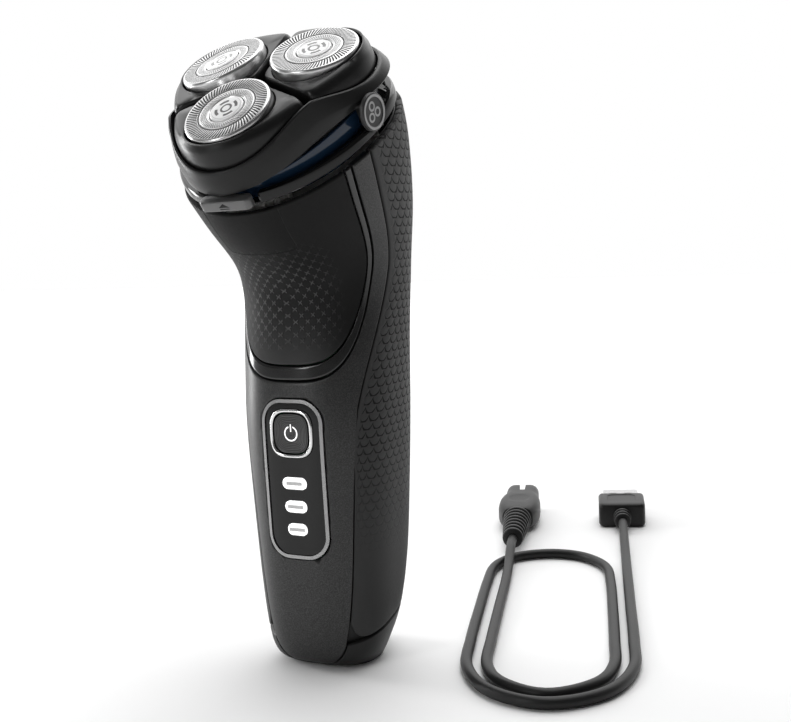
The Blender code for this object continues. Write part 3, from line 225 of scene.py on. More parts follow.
def plain(name, value, roughness, tint=(1, 1, 1), grain=1500.0, depth=0.02, vary=0.05, **constants):
    """A moulded finish: fine grain in the surface and in the gloss."""
    look = Look(name, grey(value, tint), roughness, **constants)
    noise = look.grain(grain)
    cloud = look.grain(60.0, 2.0)
    look.put("Roughness", roughness - vary + noise * vary + cloud * vary)
    return look.bump(noise, depth)


def make_grip_look():
    """Soft neck grip: small raised crosses in diagonal rows, strongest in the middle, and a painted highlight
    on the lower front.
    """
    look = Look("neck grip rubber", grey(0.012), 0.6, specular_ior_level=0.15)
    x, v = look.chart()
    row = (v / 1.45).math("FLOOR")
    shift = row.math("MODULO", 2.0).math("ABSOLUTE") * 0.5
    a = ((x / 2.9 + shift).math("FRACT") - 0.5) * 2.9
    b = ((v / 1.45).math("FRACT") - 0.5) * 1.45
    one = (a - b * 1.15).math("ABSOLUTE").rise(0.17, 0.33)
    two = (a + b * 1.15).math("ABSOLUTE").rise(0.17, 0.33)
    near = 1.0 - a.math("ABSOLUTE").rise(0.44, 0.58)
    cross = (1.0 - one.math("MINIMUM", two)) * near
    fade = v.rise(77.0, 85.0) * (1.0 - v.rise(96.0, 107.0)) * (1.0 - x.math("ABSOLUTE").rise(6.0, 16.0))
    across, along = x.math("ABSOLUTE") - 7.2, (v - 111.5).math("ABSOLUTE") - 5.6
    edge = ((across.math("MAXIMUM", 0.0)) ** 2.0 + along.math("MAXIMUM", 0.0) ** 2.0).math("SQRT")
    panel = 1.0 - edge.rise(1.5, 1.75)
    noise = look.grain(1300.0)
    # Lighter towards the lower front: a painted highlight where the light falls on the lower neck.
    painted_lower_highlight = (1.0 - v.rise(62.0, 92.0)) * (1.0 - x.math("ABSOLUTE").rise(2.0, 17.0))
    pale = (cross * fade * 0.7 + painted_lower_highlight * 0.85).math("MINIMUM", 1.0)
    look.put("Base Color", pale.mix(grey(0.008), grey(0.085)))
    look.put("Roughness", 0.5 + noise * 0.16 - cross * fade * 0.14 + panel * 0.06)
    return look.bump(cross * fade - panel * 0.6 + noise * 0.04, 0.5)


def make_scale_look():
    """Side grips: rows of overlapping scales cut by fine grooves, fading towards the foot."""
    look = Look("side grip rubber", grey(0.032), 0.55, specular_ior_level=0.3)
    x, v = look.chart()
    row = (v / 1.9).math("FLOOR")
    shift = row.math("MODULO", 2.0).math("ABSOLUTE") * 0.5
    a = ((x / 2.9 + shift).math("FRACT") - 0.5) * 2.0
    b = (v / 1.9).math("FRACT")
    curve = 1.0 - (1.0 - a * a * 0.97).math("SQRT")
    wiggle = look.grain(900.0, 2.0)
    groove = 1.0 - (b - curve + (wiggle - 0.5) * 0.16).math("ABSOLUTE").rise(0.09, 0.2)
    margin = x.rise(1.2, 2.6)
    fade = v.rise(24.0, 62.0) * margin * (1.0 - (v - 118.0 + x * 0.0).rise(16.0, 22.0))
    noise = look.grain(1500.0)
    bulge = (1.0 - a * a) * 0.25
    look.put("Base Color", (groove * fade).mix(grey(0.03), grey(0.001)))
    look.put("Roughness", 0.46 + noise * 0.14 + groove * fade * 0.2)
    return look.bump((bulge - groove) * fade + noise * 0.06, 0.3)


def make_shell_look():
    """Satin front shell: dark metallic paint with a fine flake."""
    look = Look("satin metallic paint", grey(0.06), 0.36, metallic=0.8, coat_weight=0.1, coat_roughness=0.3)
    flake = look.grain(3800.0, 2.0)
    cloud = look.grain(45.0, 2.0)
    look.put("Base Color", flake.rise(0.35, 0.75).mix(grey(0.034), grey(0.062)))
    look.put("Roughness", 0.31 + flake * 0.08 + cloud * 0.05)
    return look.bump(flake, 0.008)


def make_cap_look():
    """Guard cap: radial slots in the outer track, fine turned lines in the inner one."""
    look = Look("guard cap steel", grey(0.66), 0.24, metallic=1.0)
    x, y = look.chart()
    radius = (x * x + y * y).math("SQRT")
    turn = y.math("ARCTAN2", x) / (2 * math.pi)
    slant = (radius - 8.3) * 0.0075
    comb = ((turn + slant) * 76.0).math("FRACT")
    slots = comb.line(0.5, 0.25, 0.06) * radius.line(8.15, 1.2, 0.08)
    inner = ((turn - slant * 1.6) * 64.0).math("FRACT").line(0.5, 0.1, 0.12) * radius.line(5.35, 0.65, 0.1)
    rings = (radius * 2.6).math("FRACT").line(0.5, 0.16, 0.2) * radius.line(5.3, 0.95, 0.05)
    groove = radius.line(6.65, 0.1, 0.12)
    dark = (slots + groove * 0.8 + inner * 0.85).math("MINIMUM", 1.0)
    brush = look.grain(3600.0)
    look.put("Base Color", dark.mix((brush * 0.15 + rings * 0.4).mix(grey(0.6), grey(0.2)), grey(0.006)))
    look.put("Metallic", 1.0 - dark * 0.9)
    look.put("Roughness", 0.26 + brush * 0.05 + dark * 0.35)
    return look.bump(1.0 - dark - rings * 0.25, 0.16)


def make_disc_look():
    """Centre of a cap: pearl white, with a small ring and four slotted arcs."""
    look = Look("cap centre", grey(0.75), 0.3, coat_weight=0.4)
    x, y = look.chart()
    radius = (x * x + y * y).math("SQRT")
    turn = y.math("ARCTAN2", x) / (2 * math.pi)
    arcs = (turn * 4.0 + 0.12).math("FRACT").line(0.5, 0.27, 0.05) * radius.line(2.35, 0.3, 0.08)
    ring = radius.line(1.15, 0.2, 0.08)
    dark = (arcs + ring).math("MINIMUM", 1.0)
    edge = radius.line(3.35, 0.05, 0.06) * 0.35
    look.put("Base Color", (dark + edge).math("MINIMUM", 1.0).mix(grey(0.9), grey(0.05)))
    look.put("Roughness", 0.26 + look.grain(700.0) * 0.08)
    return look.bump(1.0 - dark - edge * 0.5, 0.2)


def make_button_look():
    """Power button: fine rounded-square ripples and a white power sign that glows as painted light."""
    look = Look("power button face", grey(0.05), 0.35, metallic=0.4)
    x, z = look.chart()
    reach = ((x * x) ** 1.6 + (z * z) ** 1.6) ** 0.3125
    ripple = (reach * 2.6).math("FRACT").line(0.5, 0.12, 0.3)
    radius = (x * x + z * z).math("SQRT")
    above = x.math("ABSOLUTE").rise(0.5, 0.62).math("MAXIMUM", 1.0 - z.rise(0.0, 0.1))
    ring = radius.line(1.62, 0.13, 0.06) * above
    bar = x.line(0.0, 0.13, 0.06) * z.line(1.3, 0.85, 0.06)
    sign = (ring + bar).math("MINIMUM", 1.0)
    look.put("Base Color", sign.mix(ripple.mix(grey(0.012), grey(0.1)), grey(0.95)))
    look.put("Metallic", 0.4 - sign * 0.4)
    # The white sign also glows, though it is no lamp: painted light.
    look.put("Emission Color", sign.mix(grey(0.0), grey(0.9)))
    look.shader.inputs["Emission Strength"].default_value = 0.9
    return look.bump(ripple * 0.8 + sign * 0.6, 0.09)


def make_light_look():
    """Status light: a bright rim round a paler grey core."""
    look = Look("status light", grey(0.9), 0.4)
    x, z = look.chart()
    core = z.line(0.0, 0.3, 0.3) * x.line(0.0, 2.0, 0.3)
    look.put("Base Color", core.mix(grey(0.95), grey(0.3)))
    look.put("Emission Color", core.mix(grey(1.0), grey(0.2)))
    look.put("Roughness", 0.35 + look.grain(500.0) * 0.1)
    look.shader.inputs["Emission Strength"].default_value = 1.25
    return look


def make_badge_look():
    """Side badge: dark disc in a light ring, with three small rings as its motif."""
    look = Look("side badge", grey(0.05), 0.4)
    x, y = look.chart()
    radius = (x * x + y * y).math("SQRT")
    ring = radius.line(3.45, 0.24, 0.08)
    turn = ((y.math("ARCTAN2", x) / (2 * math.pi) + 0.25) * 3.0).math("FRACT") - 0.5
    third = turn * (2 * math.pi / 3)
    a, b = radius * third.math("SINE"), radius * third.math("COSINE") - 1.35
    small = (a * a + b * b).math("SQRT").line(0.85, 0.19, 0.08)
    light = (ring + small).math("MINIMUM", 1.0)
    look.put("Base Color", light.mix(grey(0.02), grey(0.36)))
    look.put("Roughness", 0.42 - light * 0.1 + look.grain(900.0) * 0.08)
    return look.bump(light, 0.12)


def make_release_look():
    """Release button: smooth grey with an engraved open sign, a triangle over a bar."""
    look = Look("release button", grey(0.12), 0.34, metallic=0.5)
    x, z = look.chart()
    side = 1.0 - (x.math("ABSOLUTE") * 0.75 + z).rise(0.72, 0.84)
    triangle = side * z.rise(-0.3, -0.2)
    bar = x.line(0.0, 1.15, 0.08) * z.line(-0.62, 0.1, 0.05)
    sign = (triangle + bar).math("MINIMUM", 1.0)
    look.put("Base Color", sign.mix(grey(0.13), grey(0.01)))
    look.put("Roughness", 0.3 + look.grain(900.0) * 0.08 + sign * 0.2)
    return look.bump(1.0 - sign, 0.08)


def make_contact_look():
    """Tongue of the plug: white with four gold contacts."""
    look = Look("plug tongue", grey(0.75), 0.45)
    place = look.start.node("ShaderNodeTexCoord", output=0)
    x, y = place.parts()
    pads = (x * 4.0).math("FRACT").line(0.5, 0.22, 0.04) * y.rise(0.35, 0.4)
    look.put("Base Color", pads.mix(grey(0.78), (0.8, 0.55, 0.16, 1.0)))
    look.put("Metallic", pads)
    return look.put("Roughness", 0.4 + look.grain(700.0) * 0.1)


LOOKS = {
    "front": make_shell_look(),
    "grip": make_grip_look(),
    "scales": make_scale_look(),
    "cap": make_cap_look(),
    "disc": make_disc_look(),
    "button": make_button_look(),
    "light": make_light_look(),
    "badge": make_badge_look(),
    "release": make_release_look(),
    "contacts": make_contact_look(),
    "black": plain("matte black shell", 0.012, 0.45, depth=0.03, specular_ior_level=0.3),
    "head": plain("satin head", 0.012, 0.36, depth=0.005, specular_ior_level=0.25),
    "pod": plain("satin pods", 0.008, 0.3, depth=0.001, vary=0.02, specular_ior_level=0.3),
    "gloss": plain("gloss black", 0.003, 0.1, depth=0.002, vary=0.02, specular_ior_level=0.35),
    "trim": plain("gloss trim", 0.012, 0.16, depth=0.004, vary=0.03, specular_ior_level=0.6),
    "chamber": plain("dark blue chamber", 0.03, 0.12, (0.25, 0.7, 1.5), depth=0.002, vary=0.03),
    "silver": plain("silver trim", 0.34, 0.28, metallic=0.9, depth=0.006),
    "bright": plain("bright ring", 0.8, 0.16, metallic=1.0, depth=0.003, vary=0.03),
    "steel": plain("steel", 0.62, 0.25, metallic=1.0, depth=0.006),
    "brass": plain("brass", 0.7, 0.3, (1.0, 0.7, 0.27), metallic=1.0, depth=0.006),
    "white": plain("white plastic", 0.75, 0.42, (1.0, 1.0, 0.96), depth=0.01),
    "inner": plain("grey plastic", 0.2, 0.5, depth=0.02),
    "wrap": plain("battery wrap", 0.2, 0.25, (0.2, 0.9, 1.8), depth=0.004),
    "board": plain("circuit board", 0.1, 0.4, (0.2, 1.1, 0.45), depth=0.01),
    "cable": plain("cable jacket", 0.01, 0.45, depth=0.01, specular_ior_level=0.3),
    "slider": plain("trimmer slider", 0.1, 0.4, depth=0.02),
}


# ---- meshes ----------------------------------------------------------------------------

def net(rows, columns, loop_rows=False, loop_columns=False):
    """Faces of a grid: corner (i, j) is joined to its next row and column."""
    i = np.arange(rows - (not loop_rows))
    j = np.arange(columns - (not loop_columns))
    i, j = np.meshgrid(i, j, indexing="ij")
    i, j = i.ravel(), j.ravel()
    k, m = (i + 1) % rows, (j + 1) % columns
    return np.stack((i * columns + j, i * columns + m, k * columns + m, k * columns + j), 1)


def build(name, points, faces, look, chart=None, angle=32.0):
    """A mesh from points in millimetres; chart holds flat coordinates for each point."""
    name = name.replace(" ", "-")
    mesh = bpy.data.meshes.new(name)
    mesh.from_pydata((np.asarray(points, float) * MM).tolist(), [], [list(f) for f in faces])
    work = bmesh.new()
    work.from_mesh(mesh)
    bmesh.ops.recalc_face_normals(work, faces=work.faces)
    work.to_mesh(mesh)
    work.free()
    if chart is not None:
        corners = np.empty(len(mesh.loops), int)
        mesh.loops.foreach_get("vertex_index", corners)
        layer = mesh.uv_layers.new(name="chart")
        layer.data.foreach_set("uv", np.asarray(chart, float)[corners].ravel())
    mesh.shade_smooth()
    mesh.set_sharp_from_angle(angle=math.radians(angle))
    mesh.materials.append(LOOKS[look].made)
    made = bpy.data.objects.new(name, mesh)
    bpy.context.scene.collection.objects.link(made)
    return made


def stack(name, rings, look, chart=None, closed=False, angle=32.0):
    """A skin through rings of equal size; closed joins the last ring to the first."""
    size, count = len(rings[0]), len(rings)
    faces = net(count, size, closed, True).tolist()
    if not closed:
        faces += [list(range(size)), list(range((count - 1) * size, count * size))]
    return build(name, np.concatenate(rings), faces, look, chart, angle)


def finish_piece(made, look, body, *replaced):
    """Attach a finished piece to its body and hide the CAD nodes it stands for."""
    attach(made, body)
    if replaced:
        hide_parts(*replaced)
    return made


def settle(made):
    """Apply the piece's modifiers, so that its mesh is final."""
    bpy.context.view_layer.update()
    view = made.evaluated_get(bpy.context.evaluated_depsgraph_get())
    mesh = bpy.data.meshes.new_from_object(view)
    made.modifiers.clear()
    made.data = mesh
    return made


def cut(made, tool, operation="DIFFERENCE"):
    """Cut, join or keep what is shared with tool, and remove the tool."""
    step = made.modifiers.new("cut", "BOOLEAN")
    step.operation, step.solver, step.object = operation, "EXACT", tool
    settle(made)
    bpy.data.objects.remove(tool)
    return made


def carve(made, rings, operation="DIFFERENCE"):
    """Cut or join the form that rings describe."""
    return cut(made, stack("guide", rings, "black"), operation)


def soften(made, width, segments=2, angle=40.0):
    """Round the piece's sharp edges a little."""
    step = made.modifiers.new("soft edges", "BEVEL")
    step.width, step.segments, step.limit_method = width * MM, segments, "ANGLE"
    step.angle_limit = math.radians(angle)
    step.harden_normals = True
    return settle(made)


def outline(half_x, half_y, corner, count=10):
    """Points of a rounded rectangle, anticlockwise."""
    turn = np.repeat(np.arange(4), count)
    angle = np.radians(90 * (turn + np.tile(np.linspace(0, 1, count), 4)))
    sx, sy = np.array((1, -1, -1, 1))[turn], np.array((1, 1, -1, -1))[turn]
    return np.stack((sx * (half_x - corner) + corner * np.cos(angle),
                     sy * (half_y - corner) + corner * np.sin(angle)), 1)


def around(count):
    """Equal steps round a circle, in radians."""
    return np.arange(count) * 2 * np.pi / count


def circle(radius, count=96):
    angle = around(count)
    return np.stack((radius * np.cos(angle), radius * np.sin(angle)), 1)


def squircle(half, exponent=3.2, count=96):
    angle = around(count)
    c, s = np.cos(angle), np.sin(angle)
    power = 2 / exponent
    return half * np.stack((np.sign(c) * abs(c) ** power, np.sign(s) * abs(s) ** power), 1)


def lift(flat, height):
    """Points of a plan, put at a height or at a height each."""
    return np.column_stack((flat, np.broadcast_to(height, len(flat))))


def cubic(a, b, da, db, u):
    """Point at u, from 0 to 1, of the cubic from a to b with slopes da and db."""
    return ((2 * u**3 - 3 * u**2 + 1) * a + (u**3 - 2 * u**2 + u) * da
            + (3 * u**2 - 2 * u**3) * b + (u**3 - u**2) * db)


def running(line):
    """Length along a line of points, up to each point."""
    return np.concatenate(([0], np.cumsum(np.linalg.norm(np.diff(line, axis=0), axis=1))))


def facing(flat, y, height):
    """Points of a front view, put at a depth y and round a height."""
    return np.column_stack((flat[:, 0], np.full(len(flat), y), flat[:, 1] + height))


# ---- the handle's surface --------------------------------------------------------------

def station_values(t):
    """Cubic curve through the stations, with each station's slope the mean of its neighbours'."""
    count = len(STATIONS) - 1
    place = np.clip(np.asarray(t, float), 0, 1) * count
    i = np.minimum(place.astype(int), count - 1)
    u = (place - i)[..., None]
    slope = np.gradient(STATIONS, axis=0)
    return cubic(STATIONS[i], STATIONS[i + 1], slope[i], slope[i + 1], u)


def skin(t, angle, inset=0.0):
    """Point of the handle: a superellipse section at t, angle in degrees from the front."""
    t, angle, inset = np.broadcast_arrays(np.asarray(t, float), np.radians(angle), inset)
    value = station_values(t)
    front, back = value[..., 0:2], value[..., 2:4]
    half_width, exponent, egg = value[..., 4], value[..., 5], value[..., 6]
    half_depth = np.linalg.norm(back - front, axis=-1) / 2
    s, c = np.sin(angle), np.cos(angle)
    power = 2 / exponent
    along = -np.sign(c) * abs(c) ** power
    x = (half_width - inset) * np.sign(s) * abs(s) ** power * (1 + egg * along)
    reach = (back - front) / 2 * ((half_depth - inset) / half_depth)[..., None]
    return np.concatenate((x[..., None], (front + back) / 2 + reach * along[..., None]), -1)


def seam(t):
    """Angle from the front to a side grip's seam: a smooth step with height, and a drop to the foot."""
    swing = np.clip((t - 0.46) / 0.29, 0, 1)
    drop = np.clip((0.45 - t) / 0.3, 0, None) ** 1.5
    return SEAM_LOW + (SEAM_HIGH - SEAM_LOW) * swing**2 * (3 - 2 * swing) - 13 * drop


def spaced(count, length, roll=0.5):
    """Shares from 0 to 1, closer together within roll of both ends of a length."""
    near = np.array((0, 0.1, 0.3, 0.6, 1.0)) * roll / length
    first = 1.6 * roll / length
    return np.concatenate((near, np.linspace(first, 1 - first, count), 1 - near[::-1]))


def edge_distance(points):
    """For each point of a grid, its distance along the grid lines to the nearest border."""
    def run(axis):
        step = np.linalg.norm(np.diff(points, axis=axis), axis=-1)
        total = np.cumsum(step, axis=axis)
        pad = [(1, 0) if k == axis else (0, 0) for k in (0, 1)]
        total = np.pad(total, pad)
        last = total[-1:, :] if axis == 0 else total[:, -1:]
        return np.minimum(total, last - total)
    return np.minimum(run(0), run(1))


def plate(name, t, angle, look, top=0.0, depth=GRIP_DEPTH, roll=0.4, chart=None):
    """A plate of the handle's skin whose border rolls over in a quarter circle of radius roll."""
    away = edge_distance(skin(t, angle))
    dip = roll - np.sqrt(np.maximum(roll**2 - np.maximum(roll - away, 0) ** 2, 0))
    outer, inner = skin(t, angle, top + dip), skin(t, angle, depth)
    rows, columns = t.shape
    half = rows * columns
    faces = np.concatenate((net(rows, columns), net(rows, columns)[:, ::-1] + half))
    i, j = np.arange(rows), np.arange(columns)
    edge = np.concatenate((i * columns, (rows - 1) * columns + j[1:],
                           i[-2::-1] * columns + columns - 1, j[-2:0:-1]))
    after = np.roll(edge, -1)
    faces = np.concatenate((faces, np.stack((edge, after, after + half, edge + half), 1)))
    points = np.concatenate((outer.reshape(-1, 3), inner.reshape(-1, 3)))
    if chart is not None:
        chart = np.tile(chart.reshape(-1, 2), (2, 1))
    return build(name, points, faces.tolist(), look, chart, 40.0)


def trim_line(grow, low, phase):
    """The U of the trim band: (angle, t) for phases from -1 to 1 along it."""
    s, c = np.sin(phase * np.pi / 2), np.cos(phase * np.pi / 2)
    angle = (TRIM_ANGLE + grow) * np.sign(s) * abs(s) ** 0.72
    return angle, low + (TRIM_SHOULDER - low) * (1 - abs(c) ** 0.62)


def climb_length(t):
    """Length up the front of the handle from its foot to t."""
    fine = np.linspace(0, 1, 400)
    return np.interp(t, fine, running(skin(fine, 0.0)))


def even(points, shares):
    """Points read at shares of the length of a line."""
    where = skin(points[:, 1], points[:, 0])
    run = running(where)
    return np.stack([np.interp(shares * run[-1], run, points[:, k]) for k in (0, 1)], 1)


def trim_path(grow, low):
    """The whole U with its upright ends, as (angle, t)."""
    angle, t = trim_line(grow, low, np.linspace(-1, 1, 241))
    return np.column_stack((np.concatenate((angle[:1], angle, angle[-1:])),
                            np.concatenate(([SHELL_TOP], t, [SHELL_TOP]))))


def shell_path():
    """Outer border of the front shell: down one seam, round the foot and up the other."""
    down = np.linspace(SHELL_TOP, FRONT_LOW + 0.10, 160)
    u = np.linspace(-1, 1, 121)[1:-1]
    low = FRONT_LOW + 0.10 * abs(u) ** 6
    t = np.concatenate((down, low, down[::-1]))
    share = np.concatenate((np.full(160, -1.0), u, np.full(160, 1.0)))
    return np.column_stack((seam(t) * share, t))


def hole_in_front(flat, height):
    """A guide drawn in the front view round a height, through the front of the handle."""
    return stack("guide", [facing(flat, y, height) for y in (-40.0, -8.0)], "black")


def window_hole(grow, corner):
    half = (WINDOW_HALF + grow, (WINDOW_TOP - WINDOW_LOW) / 2 + grow)
    return hole_in_front(outline(*half, corner, 16), WINDOW_MIDDLE)


def make_front_shell():
    along = spaced(170, 230.0)
    inner = even(trim_path(0.0, TRIM_LOW - 0.003), along)
    outer = even(shell_path(), along)
    across = spaced(44, 40.0)[:, None, None]
    grid = inner * (1 - across) + outer * across
    made = plate("front shell", grid[..., 1], grid[..., 0], "front", 0.0, WALL, 0.45)
    cut(made, window_hole(GAP, WINDOW_CORNER + GAP))
    return finish_piece(made, "front", "handle", "front_shell")


def make_trim_band():
    along = spaced(200, 150.0)
    outer = even(trim_path(-SEAM_GAP, TRIM_LOW), along)
    inner = even(trim_path(-TRIM_WIDTH, TRIM_LOW + TRIM_HEIGHT), along)
    across = spaced(5, 1.6, 0.3)[:, None, None]
    grid = outer * (1 - across) + inner * across
    made = plate("gloss trim band", grid[..., 1], grid[..., 0], "trim", 0.1, GRIP_DEPTH, 0.3)
    return finish_piece(made, "trim", "handle", "trim_band")


def make_neck_grip():
    phase = spaced(120, 55.0) * 2 - 1
    angle, low = trim_line(-TRIM_WIDTH - SEAM_GAP, TRIM_LOW + TRIM_HEIGHT + 0.003, phase)
    v = spaced(70, 45.0)[:, None]
    t = low + (SHELL_TOP - low) * v
    angle = angle + 0 * v
    chart = np.stack((np.radians(angle) * 21.0, climb_length(t)), -1)
    made = plate("neck grip", t, angle, "grip", 0.0, GRIP_DEPTH, 0.4, chart)
    return finish_piece(made, "grip", "handle", "neck_grip")


def make_side_grip(side):
    """One side panel; its chart runs along the skin from the seam, and up in height."""
    u, v = spaced(34, 30.0)[None, :], spaced(110, 110.0)[:, None]
    low = GRIP_LOW + 0.05 * (2 * u - 1) ** 6
    t = low + (SHELL_TOP - low) * v
    first = seam(t) + SEAM_GAP
    angle = side * (first + (BACK_ANGLE - first) * u)
    place = skin(t, angle)
    run = np.cumsum(np.linalg.norm(np.diff(place, axis=1), axis=-1), axis=1)
    run = np.pad(run, ((0, 0), (1, 0)))
    chart = np.stack((run, place[..., 2]), -1)
    word = "right" if side > 0 else "left"
    made = plate("side grip " + word, t, angle, "scales", 0.0, GRIP_DEPTH, 0.4, chart)
    return finish_piece(made, "scales", "handle", "side_grip_" + word)


def slab(t, angle, near, far):
    """A plain thick plate of the handle's skin, used to cut the back shell."""
    return plate("guide", t, angle, "black", near, far, 0.01)


def make_back_shell():
    """Tub open at the front, with pockets for the side grips, the inlet and the trimmer."""
    turn = np.arange(128) * 360 / 128
    rings = [skin(t, turn, dip) for t, dip in ((0.0, 0.5), (0.0, 0.15), (0.006, 0.0))]
    rings += [skin(t, turn) for t in np.linspace(0.02, SHELL_TOP, 80)]
    rings += [skin(t, turn, WALL) for t in np.linspace(SHELL_TOP, CAVITY_LOW, 40)]
    made = stack("back shell", rings, "black")
    u, v = np.linspace(-1, 1, 41)[None, :], np.linspace(0, 1, 80)[:, None]
    low = FRONT_LOW - 0.006 + 0.10 * abs(u) ** 6
    t = low + (1.0 - low) * v
    cut(made, slab(t, (seam(t) + SEAM_GAP) * u, -4.0, 4.5))
    for side in (1, -1):
        u = np.linspace(0, 1, 24)[None, :]
        t = GRIP_LOW - 0.008 + (1.0 - GRIP_LOW + 0.008) * v + 0 * u
        first = seam(t) - 8
        cut(made, slab(t, side * (first + (BACK_ANGLE + SEAM_GAP - first) * u), -3.0, GRIP_DEPTH + GAP))
    hole = outline(SLEEVE[0] + GAP, SLEEVE[1] + GAP, INLET_CORNER)
    hole[:, 1] += INLET_Y
    carve(made, [lift(hole, z) for z in INLET_ENDS])
    carve(made, [on_back(lift(np.array(TRIMMER_ROOM), z)) for z in TRIMMER_ROOM_ENDS])
    slot = outline(*SLIDER_ROOM)
    slot[:, 1] += SLIDER_Y
    carve(made, [lift(slot, z) for z in SLIDER_ENDS])
    return finish_piece(made, "black", "handle", "back_shell")


def on_back(points):
    """From the trimmer's axes (x, out, up) to the row frame, on the leaning back."""
    c, s = math.cos(TRIMMER_LEAN), math.sin(TRIMMER_LEAN)
    x, y, z = points[:, 0], points[:, 1], points[:, 2]
    return np.column_stack((x, TRIMMER_Y + c * y - s * z, TRIMMER_LOW + s * y + c * z))


# ---- window, button and lights ---------------------------------------------------------

def front_y(height):
    line = skin(np.linspace(0, 0.7, 400), 0.0)
    return float(np.interp(height, line[:, 2], line[:, 1]))


def window_plate(name, look, top):
    u, v = np.linspace(-1, 1, 60)[None, :], np.linspace(0, 1, 60)[:, None]
    return plate(name, 0.22 + 0.36 * v + 0 * u, 52 * u + 0 * v, look, top, 1.6, 0.01)


def make_window():
    bezel = window_plate("window bezel", "silver", -0.15)
    cut(bezel, window_hole(0.0, WINDOW_CORNER), "INTERSECT")
    cut(bezel, window_hole(-BEZEL_WIDTH, WINDOW_CORNER - BEZEL_WIDTH))
    finish_piece(soften(bezel, 0.22, 3), "silver", "handle", "window_bezel")
    window = window_plate("status window", "gloss", 0.15)
    inset = BEZEL_WIDTH + GAP * 0.4
    cut(window, window_hole(-inset, WINDOW_CORNER - inset), "INTERSECT")
    cut(window, hole_in_front(squircle(BUTTON_HALF + RING_WIDTH + 1.3 * GAP), BUTTON_HEIGHT))
    for height, half in LIGHTS:
        cut(window, hole_in_front(outline(half + 0.12, LIGHT_HALF + 0.12, LIGHT_HALF), height))
    finish_piece(soften(window, 0.1, 2), "gloss", "handle", "status_window")


def make_power_button():
    """Slightly dished button in a polished ring."""
    face = front_y(BUTTON_HEIGHT)
    shares = np.concatenate((np.linspace(0.04, 0.86, 14), (0.9, 0.94, 0.97, 0.99, 1.0)))
    drop = np.concatenate((0.12 - 0.12 * np.linspace(0.04, 0.86, 14) ** 2, (0.02, 0.05, 0.11, 0.2, 0.34)))
    rings = [facing(squircle(BUTTON_HALF * s), face - 0.1 + d, BUTTON_HEIGHT) for s, d in zip(shares, drop)]
    rings.append(facing(squircle(BUTTON_HALF), face + BUTTON_DEPTH, BUTTON_HEIGHT))
    points = np.concatenate(rings)
    chart = points[:, (0, 2)] - (0, BUTTON_HEIGHT)
    button = stack("power button", rings, "button", chart, angle=50.0)
    finish_piece(button, "button", "power", "power_button")
    inner, outer = BUTTON_HALF + GAP, BUTTON_HALF + GAP + RING_WIDTH
    path = ((outer, 1.4), (outer, 0.15), (outer - 0.08, -0.05), (outer - 0.25, -0.2), (outer - 0.5, -0.22),
            (inner + 0.12, -0.12), (inner, 0.05), (inner, 1.4))
    rings = [facing(squircle(half), face + y, BUTTON_HEIGHT) for half, y in path]
    finish_piece(stack("power button ring", rings, "bright", closed=True, angle=60.0), "bright", "handle",
                 "power_button_ring")


def make_lights():
    for k, (height, half) in enumerate(LIGHTS):
        face = front_y(height)
        path = ((0.0, 1.8), (0.0, 0.25), (0.06, 0.12), (0.2, 0.06), (0.6, 0.03), (1.1, 0.02))
        rings = []
        for dip, y in path:
            corner = max(LIGHT_HALF - dip - 0.03, 0.2)
            rings.append(facing(outline(half - dip, LIGHT_HALF - dip, corner, 12), face + y, height))
        points = np.concatenate(rings)
        chart = points[:, (0, 2)] - (0, height)
        made = stack("status light %d" % (k + 1), rings, "light", chart, angle=60.0)
        finish_piece(made, "light", "handle", "charge_light_%d" % (k + 1))


# ---- head ------------------------------------------------------------------------------

def in_head(points):
    """From the head plane's axes (x, back and up, outward) to the row frame."""
    c, s = math.cos(HEAD_TILT), math.sin(HEAD_TILT)
    x, y, z = points[:, 0], points[:, 1], points[:, 2]
    return HEAD_CENTRE + np.column_stack((x, c * y - s * z, s * y + c * z))


def head_outline(inset=0.0, count=168, swell=HEAD_LOBE, wide=1.0):
    """The head's plan: a circle whose radius swells by a cosine towards each pod."""
    angle = around(count)
    radius = (HEAD_RADIUS - inset) * (1 + swell * np.cos(3 * (angle + np.pi / 2)))
    return np.stack((wide * radius * np.cos(angle), radius * np.sin(angle)), 1)


def sweep(count=168):
    """How much higher the skirt is at each angle: a power of a cosine, most at the two sides."""
    angle = around(count)
    return SKIRT_SWEEP * (0.5 + 0.5 * np.cos(2 * angle)) ** 0.7


def rim_rise(count=168):
    """How much higher the rim is at each angle: a cosine, most on both sides of the front pod."""
    angle = around(count)
    front = np.clip(0.5 - np.sin(angle), 0, 1)
    return RIM_RISE * front * (0.5 - 0.5 * np.cos(3 * (angle + np.pi / 2))) ** 1.2


def pod_centre(which):
    angle = math.radians(POD_ANGLES[which])
    return np.array((POD_RADIUS * math.cos(angle), POD_RADIUS * math.sin(angle)))


def on_pod(points, which):
    """From a cap's own axes to the row frame: it leans outwards from the head's middle."""
    a = math.radians(POD_ANGLES[which])
    out, side = np.array((math.cos(a), math.sin(a), 0)), np.array((-math.sin(a), math.cos(a), 0))
    up = np.array((0, 0, 1.0))
    c, s = math.cos(POD_LEAN), math.sin(POD_LEAN)
    r, q = points @ out, points @ side
    local = (np.outer(r * c + points[:, 2] * s, out) + np.outer(q, side)
             + np.outer(points[:, 2] * c - r * s, up))
    local[:, :2] += pod_centre(which)
    return in_head(local)


def hinge_rod(radius, half, middle=0.0):
    """A guide along the head's hinge."""
    flat = circle(radius, 40)
    rings = [np.column_stack((np.full(len(flat), middle + x), flat + (HINGE_BACK, HINGE_LOW)))
             for x in (-half, half)]
    return stack("guide", [in_head(r) for r in rings], "black")


